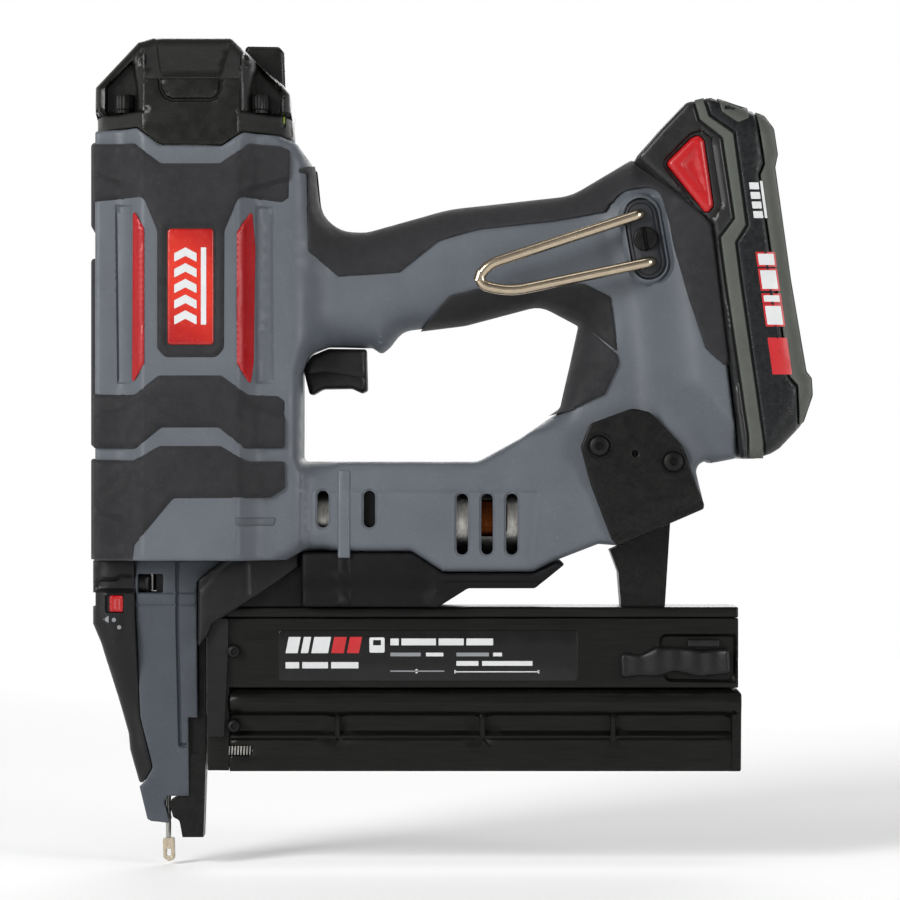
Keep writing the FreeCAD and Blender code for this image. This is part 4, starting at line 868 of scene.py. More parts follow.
BADGE = rectangle(-110.4, -92.2, -31, 13.5, 1.6)
UPPER_PAD = [
    (-138.6, 45.4, 1), (-122.4, 45.4, 3), (-112.4, 37.8, 2), (-90.4, 37.8, 2), (-79.2, 45.5, 3),
    (-68, 44.8, 2), (-64.2, 43.2, 1.5), (-64.6, 25, 1.5), (-67.3, 23.2, 1), (-83.1, 25, 3),
    (-88.4, 12.3, 3), (-88.6, -32, 3), (-91.6, -35.4, 3), (-111, -35.4, 3), (-114, -32, 3),
    (-114, 12.3, 3), (-119.2, 25, 3), (-138.6, 23.4, 1),
]
MIDDLE_PAD = [
    (-138.6, -48.8, 1), (-122.5, -49, 3), (-113.4, -41.9, 2), (-89.8, -41.9, 2), (-79.8, -49, 3),
    (-68.8, -49.4, 2), (-66, -51.4, 1.5), (-66.3, -69.4, 1), (-81.2, -69.6, 2), (-90.8, -61.8, 2),
    (-112.2, -61.8, 2), (-121.8, -69.6, 3), (-138.6, -69.4, 1),
]
LOWER_PAD = [
    (-138.6, -73.6, 1), (-123.2, -74, 3), (-113, -68.4, 2), (-90, -68.4, 2), (-79.8, -74.3, 3),
    (-66.4, -74.3, 1), (-66.2, -84.6, 1.5), (-71.6, -88.2, 1.5), (-107.8, -88.4, 2), (-122.5, -106.2, 2),
    (-123, -111.6), (-138.6, -111.6),
]
CHAMFERS = [
    ((-118.6, 28.2), (-136.6, 34.6), -1), ((-83.4, 28.2), (-64.2, 33.4), -1),
    ((-119.6, -53.4), (-136.6, -58.6), 1), ((-84, -53.2), (-66, -58.8), 1),
    ((-119.8, -97.8), (-136.6, -92.4), -1),
]


def chamfer_drop(x, z):
    """How far the ends of the pads are cut back on one side (1 above, -1 below) of their slanting lines."""
    drop = np.zeros_like(x)
    for (x0, z0), (x1, z1), way in CHAMFERS:
        share = (x - x0) / (x1 - x0)
        past = way * (z - z0 - (z1 - z0) * share)
        cut = np.clip(share * 4, 0, 1) * np.clip(past, 0, 1.9) * 0.9
        drop = np.maximum(drop, cut * (past < 20))
    return drop


def pad_height(x, z, gap):
    """Flat over the badge, with thicker blocks towards both ends and their slanting chamfers."""
    base = np.maximum(octagon(x), barrel_and_web(x))
    lift = 1.6 + 1.6 * smooth_step((np.abs(x - BARREL_X) - 19.4) / 3.5)
    return base + np.maximum(lift - chamfer_drop(x, z), 1.5)


def pad_back(x, z):
    return barrel_and_web(x) - 1.2


PAD_EDGE = [(0, -2.2), (0.15, -1.5), (0.6, -0.95), (1.3, -0.42), (2.0, -0.1), (2.6, 0)]
pad_creases = list(BARREL_CREASES)
for start, end, _ in CHAMFERS:
    pad_creases += crease(*start, *end, 1.4, (-1.9, -0.9, 0, 0.9, 1.9))
for side, suffix in SIDE_NAMES:
    for place, outline in (("upper", UPPER_PAD), ("middle", MIDDLE_PAD), ("lower", LOWER_PAD)):
        badged = place == "upper"
        skin(f"pad_{place}_{suffix}", outline, pad_height, RUBBER, back=pad_back,
             holes=[BADGE] if badged else (), profile=PAD_EDGE, spacing=2.6, creases=pad_creases,
             sides=(side,), replaces=("barrel_grip_" + suffix,) if badged else ())

FRONT_STRIPS = [
    [(-140.3, 46.6, 1.6), (-135.2, 46.6, 0.5), (-135.2, 11.8, 1), (-138.2, 11.6, 1), (-140.3, 15, 2)],
    [(-140.3, 2.6, 1.4), (-135.2, 2.6, 0.8), (-135.2, -68.8, 0.5), (-140.3, -68.6, 1)],
    [(-140.3, -73.4, 1), (-135.2, -73.4, 0.5), (-135.2, -111.6), (-140.3, -111.6)],
]
for index, strip in enumerate(FRONT_STRIPS):
    skin(f"front_strip_{index + 1}", strip, lambda x, z, gap: octagon(x, 3.4), RUBBER,
         through=True, edge=(1.2, 1.6), spacing=2, replaces=("front_bumper",) if not index else ())

STRIPS = [
    [(-123.3, 20.9, 0.6), (-118.7, 13.2, 0.6), (-118.7, -37.5, 0.6), (-123.6, -45.6, 0.6)],
    [(-78.4, 20.4, 0.6), (-77.2, 6.6, 2), (-77.8, -37.4, 2), (-79, -45.8, 0.6), (-83.9, -37.4, 0.6),
     (-83.9, 11.7, 0.6)],
]


def accent_height(x, z, gap):
    """A red strip with a low ridge along its middle."""
    return octagon(x) + 0.75 + 0.5 * ramp(1.6 - np.abs(np.abs(x - BARREL_X) - 19.9), 0.3)


strip_ridge = [p for x in (-121.4, -81) for p in crease(x, -46, x, 21, 2, (-0.5, 0, 0.5))]
for index, strip in enumerate(STRIPS):
    skin(f"accent_{index + 1}", strip, accent_height, RED_DEEP, back=over_barrel(-1.6), edge=(0.5, 0.6),
         spacing=2, creases=list(BARREL_CREASES) + strip_ridge,
         replaces=("accent_strips",) if not index else ())

# ---------------------------------------------------------------- cap

CAP_OUTLINE = [
    (-138.4, 50.6, 0.6), (-138.4, 67.4, 3), (-122.4, 85, 3), (-116.6, 86.7, 3), (-86.9, 86.7, 4),
    (-74.6, 74.8, 6), (-67, 68.2, 3), (-64.4, 65, 3), (-63.8, 48.9, 0.6), (-81.8, 50, 2),
    (-89.6, 44.7, 2), (-113, 45, 2), (-121.6, 51.6, 2),
]
CAP_RIM = [
    (-138.4, 40), (-138.4, 67.4), (-122.4, 85), (-116.6, 86.7), (-86.9, 86.7), (-74.6, 74.8), (-67, 68.2),
    (-64.4, 65), (-63.8, 40),
]
CAP_WELLS = [
    [(-134, 57), (-134, 67.3, 1), (-121.6, 79.7, 1), (-118.75, 79.7, 1), (-118.75, 57)],
    [(-82.75, 57), (-82.75, 79.2, 1), (-80, 79.2, 1), (-67.8, 66.6, 1), (-67.8, 57)],
]
CAP_LIP = [(-113, 69.2), (-112.7, 65.6), (-111, 62.8), (-108.4, 61.6), (-93.8, 61.6), (-91.4, 62.8),
           (-90.3, 65.6), (-90, 69.2)]
CAP_DISH = [(-112.8, 70.2, 0.5), (-116, 87), (-86, 87), (-89.8, 70.2, 0.5)]
CAP_SLIT = rectangle(-67.8, -66.2, 52.4, 63.4, 0.7)
CAP_MIDDLE = -100.75
CAP_HALF = 36.2          # half width of the centre face
CAP_BRIM = 27.4          # half width where the wells begin
ROOF_FROM = 69.4
COLUMN_REACH = 17.8      # from the cap's middle to the columns beside the wells


def cap_height(x, z, gap):
    """Centre face, sloped roof, the four bolt wells with their rounded columns, and the ledges."""
    reach = np.abs(x - CAP_MIDDLE)
    centre = np.maximum(CAP_HALF - 0.9 * ramp(z - ROOF_FROM, 0.5), 19.6)
    rim = CAP_BRIM - 0.16 * np.maximum(z - 57, 0)
    outer = larger(centre * smooth_step((19.8 - reach) / 1.2), rim, 0.8)
    well = 21.5 + 11 * (1 - np.clip((reach - COLUMN_REACH) / 6, 0, 1) ** 2) ** 0.8
    depth = np.maximum(signed(x, z, CAP_WELLS[0]), signed(x, z, CAP_WELLS[1]))
    share = smooth_step(depth / 0.6 + 0.5)
    height = outer * (1 - share) + np.minimum(well, outer + 6) * share
    ledge = smooth_step((57.8 - z) / 0.6)
    height = height * (1 - ledge) + (octagon(x, -0.2) - 0.9 * smooth_step((z - 56.2) / 1.6)) * ledge
    height = height - groove(x, z, CAP_LIP, 1.5, 1.1) - sunk(x, z, CAP_DISH, 0.7, 0.6)
    height = height - sunk(x, z, CAP_SLIT, 0.7, 0.4)
    return height - 5.5 * round_over(along(x, z, CAP_RIM), 4)


cap_creases = line_creases(CAP_LIP, 1.2)
cap_creases += rim_creases(CAP_DISH, 1.5, (0.01, 0.6)) + rim_creases(CAP_SLIT, 1, (0.4,))
for well in CAP_WELLS:
    cap_creases += rim_creases(well, 1.5, (0.3, 0.6, 1.6))
    cap_creases += list(grown(trace(well, 1.5), 0.35))
    side = 1 if well[0][0] > CAP_MIDDLE else -1
    for reach in (19.6, 20.8, 22.2, 23.2, 23.9):
        cap_creases += crease(CAP_MIDDLE + side * reach, 58, CAP_MIDDLE + side * reach, 77, 1.6)
    for reach in (18.5, 19.2, 19.9):
        cap_creases += crease(CAP_MIDDLE + side * reach, 81, CAP_MIDDLE + side * reach, 87, 1.6)
for start, end in ((-138, -119), (-82.5, -65)):
    cap_creases += crease(start, 57.2, end, 57.2, 1.6, (-1.2, -0.4, 0.2, 0.7))
cap_creases += crease(-119, 69.4, -82.5, 69.4, 1.6, (-0.6, 0, 0.6))
cap_creases += [p for x in BARREL_EDGES for p in crease(x, 46, x, 56, 1.8, (-0.5, 0, 0.5))]
skin("cap", CAP_OUTLINE, cap_height, CAP, through=True, spacing=2.2,
     profile=[(0, -0.3), (0.3, 0), (0.8, 0), (1.6, 0), (2.6, 0), (4, 0)], creases=cap_creases,
     replaces=("top_cap",))
skin("cap_port", [(-84, 74), (-82, 84.6, 1.5), (-69.2, 84.4, 2), (-67.3, 82.2, 1), (-66.6, 64)], 9, CAP,
     through=True, edge=(1.6, 1.8), spacing=3)
# a painted glint: a small yellow-green patch in the cap's slit
skin("cap_mark", rectangle(-67.2, -66.6, 54, 56.8, 0.28), shifted(cap_height, 0.3), GREEN,
     back=shifted(cap_height, -0.4), edge=(0.2, 0.2), spacing=1)

CAP_BOLT = [(3.4, 57.3), (3.4, 58.4), (3.95, 58.8), (4.0, 63.4), (3.5, 64.2), (2.2, 64.3), (2.0, 62),
            (0.2, 62)]
BOLT_REACH = 25.6
for index, (a, b) in enumerate([(a, b) for a in (-1, 1) for b in (-1, 1)]):
    lathe(f"cap_bolt_{index + 1}", CAP_BOLT, (BARREL_X + a * BOLT_REACH, b * BOLT_REACH, 0), (0, 0, 1),
          STEEL_BLACK, count=56, replaces=("cap_bolts",) if not index else (), knurl=0.045)

# ---------------------------------------------------------------- badge

skin("badge_frame", rectangle(-111.6, -91, -32.2, 14.7, 1.6), over_barrel(0.3), RUBBER_DARK,
     back=over_barrel(-1.2), profile=FLAT, spacing=4)
BADGE_PLATE = rectangle(-110, -92.6, -30.6, 13.1, 1.4)
skin("badge", BADGE_PLATE, over_barrel(0.7), FOIL,
     back=over_barrel(-1.5), edge=(0.9, 0.6), spacing=3, replaces=("badges",))
skin("badge_bar", rectangle(-97.4, -95.4, -23, 6, 0.2), over_barrel(0.82), INK_WHITE,
     back=over_barrel(0.5), profile=FLAT, spacing=3)
for index in range(5):
    low = -23 + 5.9 * index
    block = [(-107.4, low, 0.2), (-103.2, low + 2.2, 0.2), (-99, low, 0.2), (-99, low + 3.2, 0.2),
             (-103.2, low + 5.4, 0.2), (-107.4, low + 3.2, 0.2)]
    skin(f"badge_block_{index + 1}", block, over_barrel(0.82), INK_WHITE,
         back=over_barrel(0.5), profile=FLAT, spacing=3)

# ---------------------------------------------------------------- battery

PACK = [
    (66, 40, 1), (75.8, 51.2, 3), (85, 60.8, 2), (88.9, 61.4, 1), (94.3, 62.8, 1.5), (109, 58.4, 2),
    (115, 56, 3), (118.4, 51.4, 3), (119.9, 41.6, 2), (118.9, 36.8, 2), (124.8, -5.6), (130.7, -40.5, 2),
    (132.7, -43, 2), (133.1, -49.4, 4), (129.2, -60.7, 6), (120.6, -69.6, 4), (117.2, -71.5, 3),
    (111, -73.4, 3), (105.6, -73.4, 1), (94.6, 14.8, 1),
]
BAND_FRONT = [
    (88.2, 61.5), (88.2, 60.3), (90, 54.1, 1), (98.6, 47.3, 1), (103.2, 16.8, 1), (97.9, 9.7, 1),
    (100, -6.3), (108.5, -64.3, 2), (108.7, -73.3), (114, -73.2), (113.8, -67.1, 2), (105, -6.3),
    (103.2, 8, 1), (107.2, 14.5, 1), (102.5, 48.9, 1), (93.3, 55.3, 1), (91.5, 60.7), (91.5, 62.3),
]
BAND_REAR = [
    (111.7, 57.5), (111.9, 55.4, 1), (114.6, 37.6, 1), (112.8, 33.3, 1), (118.5, -6.2), (123.7, -42.2, 1),
    (127, -45.8, 1), (127.8, -60.4, 1), (129.4, -60.8, 2), (133.3, -49.4, 4), (132.9, -42.9, 2),
    (130.9, -40.4, 2), (125, -5.6), (119.1, 36.8, 2), (120.1, 41.6, 2), (118.6, 51.4, 3), (115, 56.2, 3),
]
BAND_TOP = [(96.9, 62.2), (97.2, 60.7, 0.5), (98.3, 56.8, 1), (104.4, 52.9, 1), (108.8, 54.9, 1),
            (108.4, 58.9)]
PEBBLE = [
    (92.4, 62.2), (92.4, 61, 0.5), (94, 55.7, 1), (103.2, 49.4, 1), (108.2, 14.1, 1), (104, 7.8, 1),
    (105.8, -6.3), (114.5, -67.1, 1), (114.8, -72.2), (117.2, -71.3, 3), (120.6, -69.4, 4),
    (127, -62.8, 1), (126.2, -46.4, 1), (123, -42.6, 1), (117.7, -6.2), (112, 33.5, 1), (113.8, 37.6, 1),
    (110.8, 55.8), (110.6, 57.7),
]
NOSE_OF_PACK = [
    (66.6, 39.8, 1), (75.9, 50.9, 3), (85.1, 60.5, 2), (87.4, 61.1), (87.5, 59.9), (89.2, 53.7, 1),
    (97.8, 46.9, 1), (102.3, 17.1, 1), (97, 10, 1), (99.2, -6.3), (107.7, -64.3, 1), (107.9, -73.1, 1),
    (106, -73.1, 1), (95.2, 14.8, 1),
]
BUTTON = [(77.1, 37.6, 2.2), (86.9, 47.3, 1.8), (89.6, 48.3, 1.8), (91.6, 46.3, 2), (95.1, 21.7, 1.6),
          (92.6, 18.4, 1.4)]
BUTTON_DISH = [(82.4, 37.2, 1.4), (87.8, 42.8, 1), (88.8, 42.6, 0.6), (93, 24.4, 0.6)]
BUTTON_WELL = [
    (75.6, 37.6, 2.6), (86.4, 48.8, 2), (90, 50, 2), (94.2, 47.6, 2), (98.2, 22.4, 2), (95.2, 17.4, 1),
    (92.4, 15.6, 1.4),
]
PACK_RINGS = [(d, 0) for d in (0, 0.25, 0.8, 1.8, 3.4, 5.6, 8.6, 12)]
PACK_LOOP = [trace(PACK)]


def pack_height(x, z, lift=0.0):
    """The pack's side face: small radii by the seat and a full round at the rear."""
    share = smooth_step((seat_place(x, z) - 96) / 20)
    reach, drop = 2.2 + 7.8 * share, 2.6 + 8.4 * share
    return PACK_HALF + lift - drop * round_over(gap_to(x, z, PACK_LOOP), reach)


def over_pack(lift):
    """A height that stands off the pack's side face."""
    return lambda x, z, gap=None: pack_height(x, z, lift=lift)


def pack_front_height(x, z, gap):
    lower = smooth_step((16 - z) / 10) * 0.5
    shelf = 1.1 * smooth_step(signed(x, z, BUTTON_WELL) / 0.5 + 0.5)
    seam = groove(x, z, [(103, -54.6), (108, -55.2)], 0.8, 0.5)
    return pack_height(x, z, lift=1.2 - lower) - 1.5 * shelf - seam


RIM_SOFT = [(0, -0.7), (0.12, -0.36), (0.35, -0.12), (0.8, 0)]
RINGED = RIM_SOFT + [(1.8, 0), (3.4, 0), (5.6, 0)]


def core_height(x, z, gap):
    """The pack's inside, just under its shell and lower still beneath the release buttons."""
    return pack_height(x, z) - 1.2 - 4 * smooth_step(signed(x, z, BUTTON_WELL) / 1.5)


def release_height(x, z, gap):
    return 38.0 - 1.1 * smooth_step(signed(x, z, BUTTON_DISH) / 3 + 0.2)


skin("battery_core", PACK, core_height, BATTERY_SATIN, "battery", through=True, profile=PACK_RINGS, spacing=4,
     creases=rim_creases(BUTTON_WELL, 2, (0.01, 0.8, 1.6)), replaces=("battery_case",))
skin("battery_front", NOSE_OF_PACK, pack_front_height, BATTERY_SATIN, "battery",
     back=lambda x, z: pack_height(x, z) - 2.4, profile=RINGED, spacing=2.4,
     creases=rim_creases(BUTTON_WELL, 1.4, (0.01, 0.3, 0.7)), holes=[BUTTON])
skin("battery_pebble", PEBBLE, over_pack(1.0), BATTERY, "battery",
     back=lambda x, z: pack_height(x, z) - 1.2, profile=RINGED, spacing=2.6)
for band, name, lift in ((BAND_FRONT, "front", 0.75), (BAND_REAR, "rear", 0.75), (BAND_TOP, "top", 1.4)):
    skin("battery_band_" + name, band, over_pack(lift), TRIM, "battery", profile=RIM_SOFT, spacing=2.4,
         through=True)
for side, suffix in SIDE_NAMES:
    skin("release_" + suffix, BUTTON, release_height,
         RED, "release_button_" + suffix, back=35.2, sides=(side,), spacing=1.8,
         profile=[(0, -2.2), (0.15, -1.3), (0.5, -0.7), (1.1, -0.25), (2, 0)],
         creases=rim_creases(BUTTON_DISH, 1.2, (0.01, 0.8, 1.6)), replaces=("release_button_" + suffix,))
PACK_SLOPE = -0.14


def leaning(across, low, high, half):
    """A bar along the pack's leaning side face."""
    ends = ((low, -half), (low, half), (high, half), (high, -half))
    return [(across + reach + PACK_SLOPE * z, z, 0.3) for z, reach in ends]


def pack_mark(name, outline, material, lift=1.06):
    """A printed mark on the pack's side face."""
    skin(name, outline, over_pack(lift), material, "battery",
         back=over_pack(0.8), profile=FLAT, spacing=2)


MARKS = [(-41, -34), (-32.6, -28.6), (-23, -16), (-14.4, -12), (-9.6, -2.6), (-0.6, 3.6)]
for index, (low, high) in enumerate(MARKS):
    pack_mark(f"mark_edge_{index + 1}", leaning(115.1, low - 0.7, high + 0.7, 3.7), INK_RED, 1.05)
    pack_mark(f"mark_{index + 1}", leaning(115.1, low, high, 3.0), INK_RED if index < 2 else INK_WHITE, 1.12)
pack_mark("mark_line", leaning(117.3, 17, 31, 0.5), INK_WHITE)
for index in range(4):
    pack_mark(f"mark_block_{index + 1}", leaning(114.4, 17 + 3.6 * index, 19.6 + 3.6 * index, 1.8), INK_WHITE)
skin("battery_gauge", [(75.8, 50.2, 0.3), (78.6, 53.2, 0.3), (77.8, 54, 0.3), (75, 51, 0.3)], 5, GREEN,
     "battery", through=True, edge=(0.2, 0.3), spacing=1.4)

# ---------------------------------------------------------------- nose

NOSE_FRONT = [
    (-140.4, -112.2, 0.6), (-140.4, -124.5, 0.3), (-139.2, -124.5), (-139.2, -129.5),
    (-140.4, -129.8, 0.3), (-140.4, -136.4, 2), (-137.2, -144, 3), (-127.3, -179, 3), (-126.8, -185, 3),
    (-123, -198, 1), (-121.2, -197.2, 1), (-118, -191.6, 2), (-122.6, -172, 3), (-124, -132.3),
    (-124.2, -112.2),
]
FRONT_LINE = [(-140.4, -108), (-140.4, -136.4), (-137.2, -144), (-127.3, -179), (-126.8, -185), (-121, -206)]
NOSE_GREY = [
    (-124, -112.2), (-123.8, -132.3), (-122.4, -172, 3), (-117.8, -191.6, 2), (-120.8, -197, 0.6),
    (-122.8, -199, 0.6), (-119.8, -211.4, 1), (-118.4, -212.2, 1), (-111.2, -213, 0.6), (-113.4, -205, 1),
    (-112, -202.6), (-103.9, -202.6), (-103.9, -172.5), (-100.3, -172.5, 0.6), (-100.5, -145.5),
    (-100.3, -120.4), (-88.8, -112.2),
]
WHEEL_WINDOW = rectangle(-123, -113.4, -124.6, -117.4, 0.5)
FINGER_DIP = [(-140, -118.2), (-132, -118.4, 3), (-129.6, -117.2, 2), (-122, -117, 1), (-122, -124.8),
              (-140, -124.8)]
SWITCH_BED = [(-135.6, -124.6, 1), (-127.6, -124.6, 1), (-127.6, -142.6, 4), (-133.6, -142.6, 4),
              (-136, -136, 2)]
SWITCH_SLOT = rectangle(-135.2, -128.2, -132.2, -125.2, 0.6)
NOSE_SLIT = [(-108, -113), (-107.9, -142), (-107.2, -183.2), (-104, -183.3)]


def nose_front_height(x, z, gap):
    half = 15.5 - 7 * smooth_step((-143 - z) / 27)
    height = half - 5.5 * round_over(along(x, z, FRONT_LINE), 7)
    height = height - sunk(x, z, FINGER_DIP, 2.2, 2.2) + 0.3 * smooth_step(signed(x, z, SWITCH_BED) / 0.6)
    return height - sunk(x, z, SWITCH_SLOT, 1.2, 0.4)


def nose_grey_height(x, z, gap):
    half = 13.5 - 5.6 * np.clip((-128 - z) / 60, 0, 1)
    seams = groove(x, z, [(-124, -124.8), (-100, -124.8)], 0.5, 0.35)
    seams = seams + groove(x, z, [(-124, -129.2), (-100, -129.4)], 0.5, 0.3)
    seams = seams + groove(x, z, [(-122, -183), (-107.4, -183)], 0.5, 0.25)
    return half - groove(x, z, NOSE_SLIT, 0.9, 1.6) - seams


def knob_height(x, z, gap):
    return 15.7 + 0.25 * np.cos(x * 4.2)


nose_creases = line_creases(NOSE_SLIT, 1.2)
nose_creases += line_creases([(-124, -124.8), (-100, -124.8)], 1.4, (-0.4, 0, 0.4))
nose_creases += line_creases([(-124, -129.3), (-100, -129.3)], 1.4, (-0.4, 0, 0.4))
skin("nose_front", NOSE_FRONT, nose_front_height, BLACK, through=True, spacing=1.8,
     profile=[(0, -0.4), (0.2, -0.1), (0.7, 0), (1.5, 0), (3, 0)], replaces=("nose_front_cover",),
     creases=rim_creases(SWITCH_BED, 1.4, (0.01, 0.5)) + rim_creases(SWITCH_SLOT, 1.2, (0.01, 0.4))
     + rim_creases(FINGER_DIP, 1.5, (0.01, 1, 2)))
skin("nose_grey", NOSE_GREY, nose_grey_height, GREY_NOSE, holes=[WHEEL_WINDOW], spacing=2.6,
     back=lambda x, z: np.where((z > -186) & (x > -120.6), 6.6, 1.4), edge=(0.8, 0.6),
     creases=nose_creases, replaces=("nose_cover",))
skin("nose_tube", rectangle(-128, -118.4, -124.2, -117.8, 1), 11.6, BLACK, back=3, edge=(2.4, 2.8),
     spacing=1.6)
skin("wheel_liner", rectangle(-116.4, -112.8, -125.4, -116.6), 6.4, BLACK, back=5,
     profile=FLAT, spacing=3)
skin("nose_core", rectangle(-104.4, -97.4, -186.8, -171.8), 5.8, STEEL_BLACK, through=True,
     profile=FLAT, spacing=4)
for index, (x, z) in enumerate(((-131.9, -134.8), (-129.9, -137.6))):
    skin(f"switch_mark_{index + 1}", disc(x, z, 0.8), shifted(nose_front_height, 0.07), INK_GREY,
         back=shifted(nose_front_height, -0.3), profile=FLAT, spacing=1)
skin("switch_arrow", [(-136, -134.6), (-133.9, -133.2), (-133.9, -136)],
     shifted(nose_front_height, 0.08), INK_GREY,
     back=shifted(nose_front_height, -0.3), profile=FLAT, spacing=1)
skin("mode_knob", rectangle(-133.6, -128.5, -131.8, -125.5, 0.8), knob_height,
     RED, "mode_slider", back=13.4, sides=LEFT, edge=(0.5, 0.5), spacing=0.6,
     replaces=("mode_slider",))

TIP = [
    (-114.3, -219.4, 0.8), (-109.8, -218.8, 0.8), (-109.6, -227.4, 1.4), (-112, -228.3, 1),
    (-114.1, -226.8, 1),
]
skin("clear_foot", TIP, 2.5, CLEAR, "contact_element", through=True, edge=(0.7, 0.8),
     holes=[rectangle(-112.8, -111.1, -226.2, -223.4, 0.4)], spacing=1.2, step=0.8, replaces=("no_mar_tip",))
GUARD = [
    (-99.6, -119.1, 1), (-89.4, -111, 3), (-78.6, -110, 2), (-61.2, -109.2, 1), (-61, -114.6, 1),
    (-77.8, -126, 3), (-94.2, -136.3, 2), (-95.8, -140.3, 1), (-99.8, -145.8, 0.6),
]
GUARD_FOLD = [(-99.2, -123.6), (-94.6, -118.6), (-86, -112.2), (-80.2, -112), (-79.2, -124.4)]


def guard_height(x, z, gap):
    return 19.2 - 0.9 * smooth_step((x + 81) / 2.4) - groove(x, z, GUARD_FOLD, 0.8, 0.3)


skin("nose_guard", GUARD, guard_height, BLACK, back=15.8, edge=(1.4, 1.8),
     spacing=2.4, creases=line_creases(GUARD_FOLD, 1.5), replaces=("nose_guards",))

# ---------------------------------------------------------------- motor arm

ARM_SHIELD = [
    (-60, -109, 1), (-18.2, -109, 2), (-6.3, -116.8, 2), (28, -116.8, 2), (36.4, -112.8, 2),
    (41, -112.4, 0.8), (28.4, -122.6, 2), (3, -122.6, 3), (-8.4, -129.8, 2), (-60, -129.6, 1),
]


def shield_height(x, z, gap):
    height = 22.9 - 1.0 * smooth_step((-119.4 - z) / 1.2) * smooth_step((x + 9) / 3)
    height = height - 2.4 * smooth_step((-118.6 - z) / 4) * smooth_step((-10 - x) / 2)
    return height + 0.8 * smooth_step((2.3 - np.abs(x + 44)) / 0.6)


shield_creases = crease(-46.2, -110, -46.2, -129, 1.8, (-0.4, 0.3))
shield_creases += crease(-41.8, -110, -41.8, -129, 1.8, (-0.3, 0.4))
shield_creases += crease(-8, -119.6, 32, -119.6, 1.8, (-0.8, 0, 0.6))
# the shield is a real part; its extra darkness is painted shade
skin("arm_shield", ARM_SHIELD, shield_height, SHADE, through=True, spacing=2.8,
     edge=(1.2, 1.4), replaces=("arm_guard",),
     creases=shield_creases)
lathe("motor_winding", [(12, 2.3), (15.6, 3), (16, 8), (15.6, 20.2), (12, 20.8)], (0, 0, -96), (1, 0, 0),
      COPPER, count=64)
# a thin dark sheet in the shade material behind the arm slot: painted shade inside the slot
skin("slot_shade_sheet", rectangle(-39, -30, -104, -81.5), 20.2, SHADE, back=19.2, spacing=5)
skin("arm_strap", rectangle(-46.3, -41.7, -111, -77.6, 0.6), lambda x, z, gap: housing_flat(x, z) + 0.7,
     GREY, back=lambda x, z: housing_flat(x, z) - 1.5, edge=(0.8, 0.9), spacing=2.2)
# the gill strip takes the darker grey as painted shade
GILL = [(-85, -95.4, 0.8), (-69.2, -95.4, 0.8), (-70.4, -98.8, 0.6), (-83.8, -98.8, 0.6)]
skin("arm_gill", GILL, lambda x, z, gap: barrel_and_web(x) + 0.8, GREY_DARK, back=over_barrel(-4),
     edge=(0.9, 1.2), spacing=2)

# a dark block in the shade material: painted shade for the deep shadow under the shield's slanting edge
skin("shield_front", [(-96.4, -129.9), (-60, -129.9), (-59.6, -109.8), (-80, -112.4), (-96.4, -124)],
     lambda x, z, gap: 14.6 - 1.2 * smooth_step((-z - 116) / 12), SHADE, through=True, spacing=4)
PLATE = [
    (49, -60.2, 3), (65.3, -54.2, 5), (71.9, -55.7, 4), (84.2, -68.6, 5), (92.4, -90.6, 2), (92.2, -92.4, 1),
    (59.5, -106.5, 1.5), (57.4, -104.1, 2), (49.4, -83.2, 6), (45.6, -69, 4),
]
PLATE_BOLTS = [(52.6, -68.5), (80.6, -74.5)]
PLATE_FOLD = [(90.6, -88.6), (59, -101.8)]
RING_PROFILE = [(5.2, 25.6), (5.2, 26.1), (4.9, 26.4), (4.4, 26.3), (4.3, 25.6)]
BOLT_PROFILE = [(3.9, 25.6), (3.9, 27), (3.4, 27.9), (2.2, 28.3), (1.5, 28.3), (1.4, 26.6), (0.1, 26.6)]
for side, suffix in SIDE_NAMES:
    skin("plate_" + suffix, PLATE, lambda x, z, gap: 25.7 - groove(x, z, PLATE_FOLD, 1.6, 0.35),
         STEEL_BLACK, back=23.6, sides=(side,), holes=[disc(66.2, -71.4, 1.1)], edge=(0.7, 0.8),
         spacing=3.6, creases=line_creases(PLATE_FOLD, 1.6), replaces=("brackets",) if side < 0 else ())
    for index, (x, z) in enumerate(PLATE_BOLTS):
        number = f"{suffix}_{index + 1}"
        lathe("plate_ring_" + number, RING_PROFILE, (x, 0, z), (0, side, 0), STEEL_BLACK, count=40)
        lathe("plate_bolt_" + number, BOLT_PROFILE, (x, 0, z), (0, side, 0), STEEL_BLACK, count=40,
              replaces=("bracket_bolts",) if side < 0 and not index else ())

# ---------------------------------------------------------------- belt hook seat



def seat_height(x, z, gap):
    """The hook's seat, with a fine groove near its rim."""
    return 26.5 - 0.5 * np.exp(-((gap - 1.5) / 0.35) ** 2)


def collar_height(x, z, gap):
    return 27.1 - 2.2 * smooth_step(1 - signed(x, z, HOOK_RING) / 2)


skin("hook_seat", hook_oval(15.2, 6.3), seat_height, SEAT, back=17.5, spacing=2, replaces=("hook_plates",),
     profile=[(0, -0.9), (0.2, -0.4), (0.6, -0.1), (1, 0), (1.5, 0), (2, 0)])
skin("hook_collar", hook_oval(17.6, 8.5), collar_height, GREY, back=22, holes=[hook_oval(15.6, 6.7)],
     edge=(0.6, 0.5), spacing=1.6)
tube("hook_wire", [
    (72.3, -24, 1.2), (72.2, -29, 1, 2.6), (19, -29, -10.2, 6), (6.4, -29, -7.6, 5), (8.6, -29, -0.6, 6),
    (68, -29, 19, 2.6), (68.2, -24, 19.1)], 2.05, NICKEL, count=24, replaces=("belt_hook",))
HOOK_SLOT = [(70.9, 4.8), (69.1, 14.8)]


def screw_height(x, z, gap):
    return 28.3 - groove(x, z, HOOK_SLOT, 1.1, 1.1)


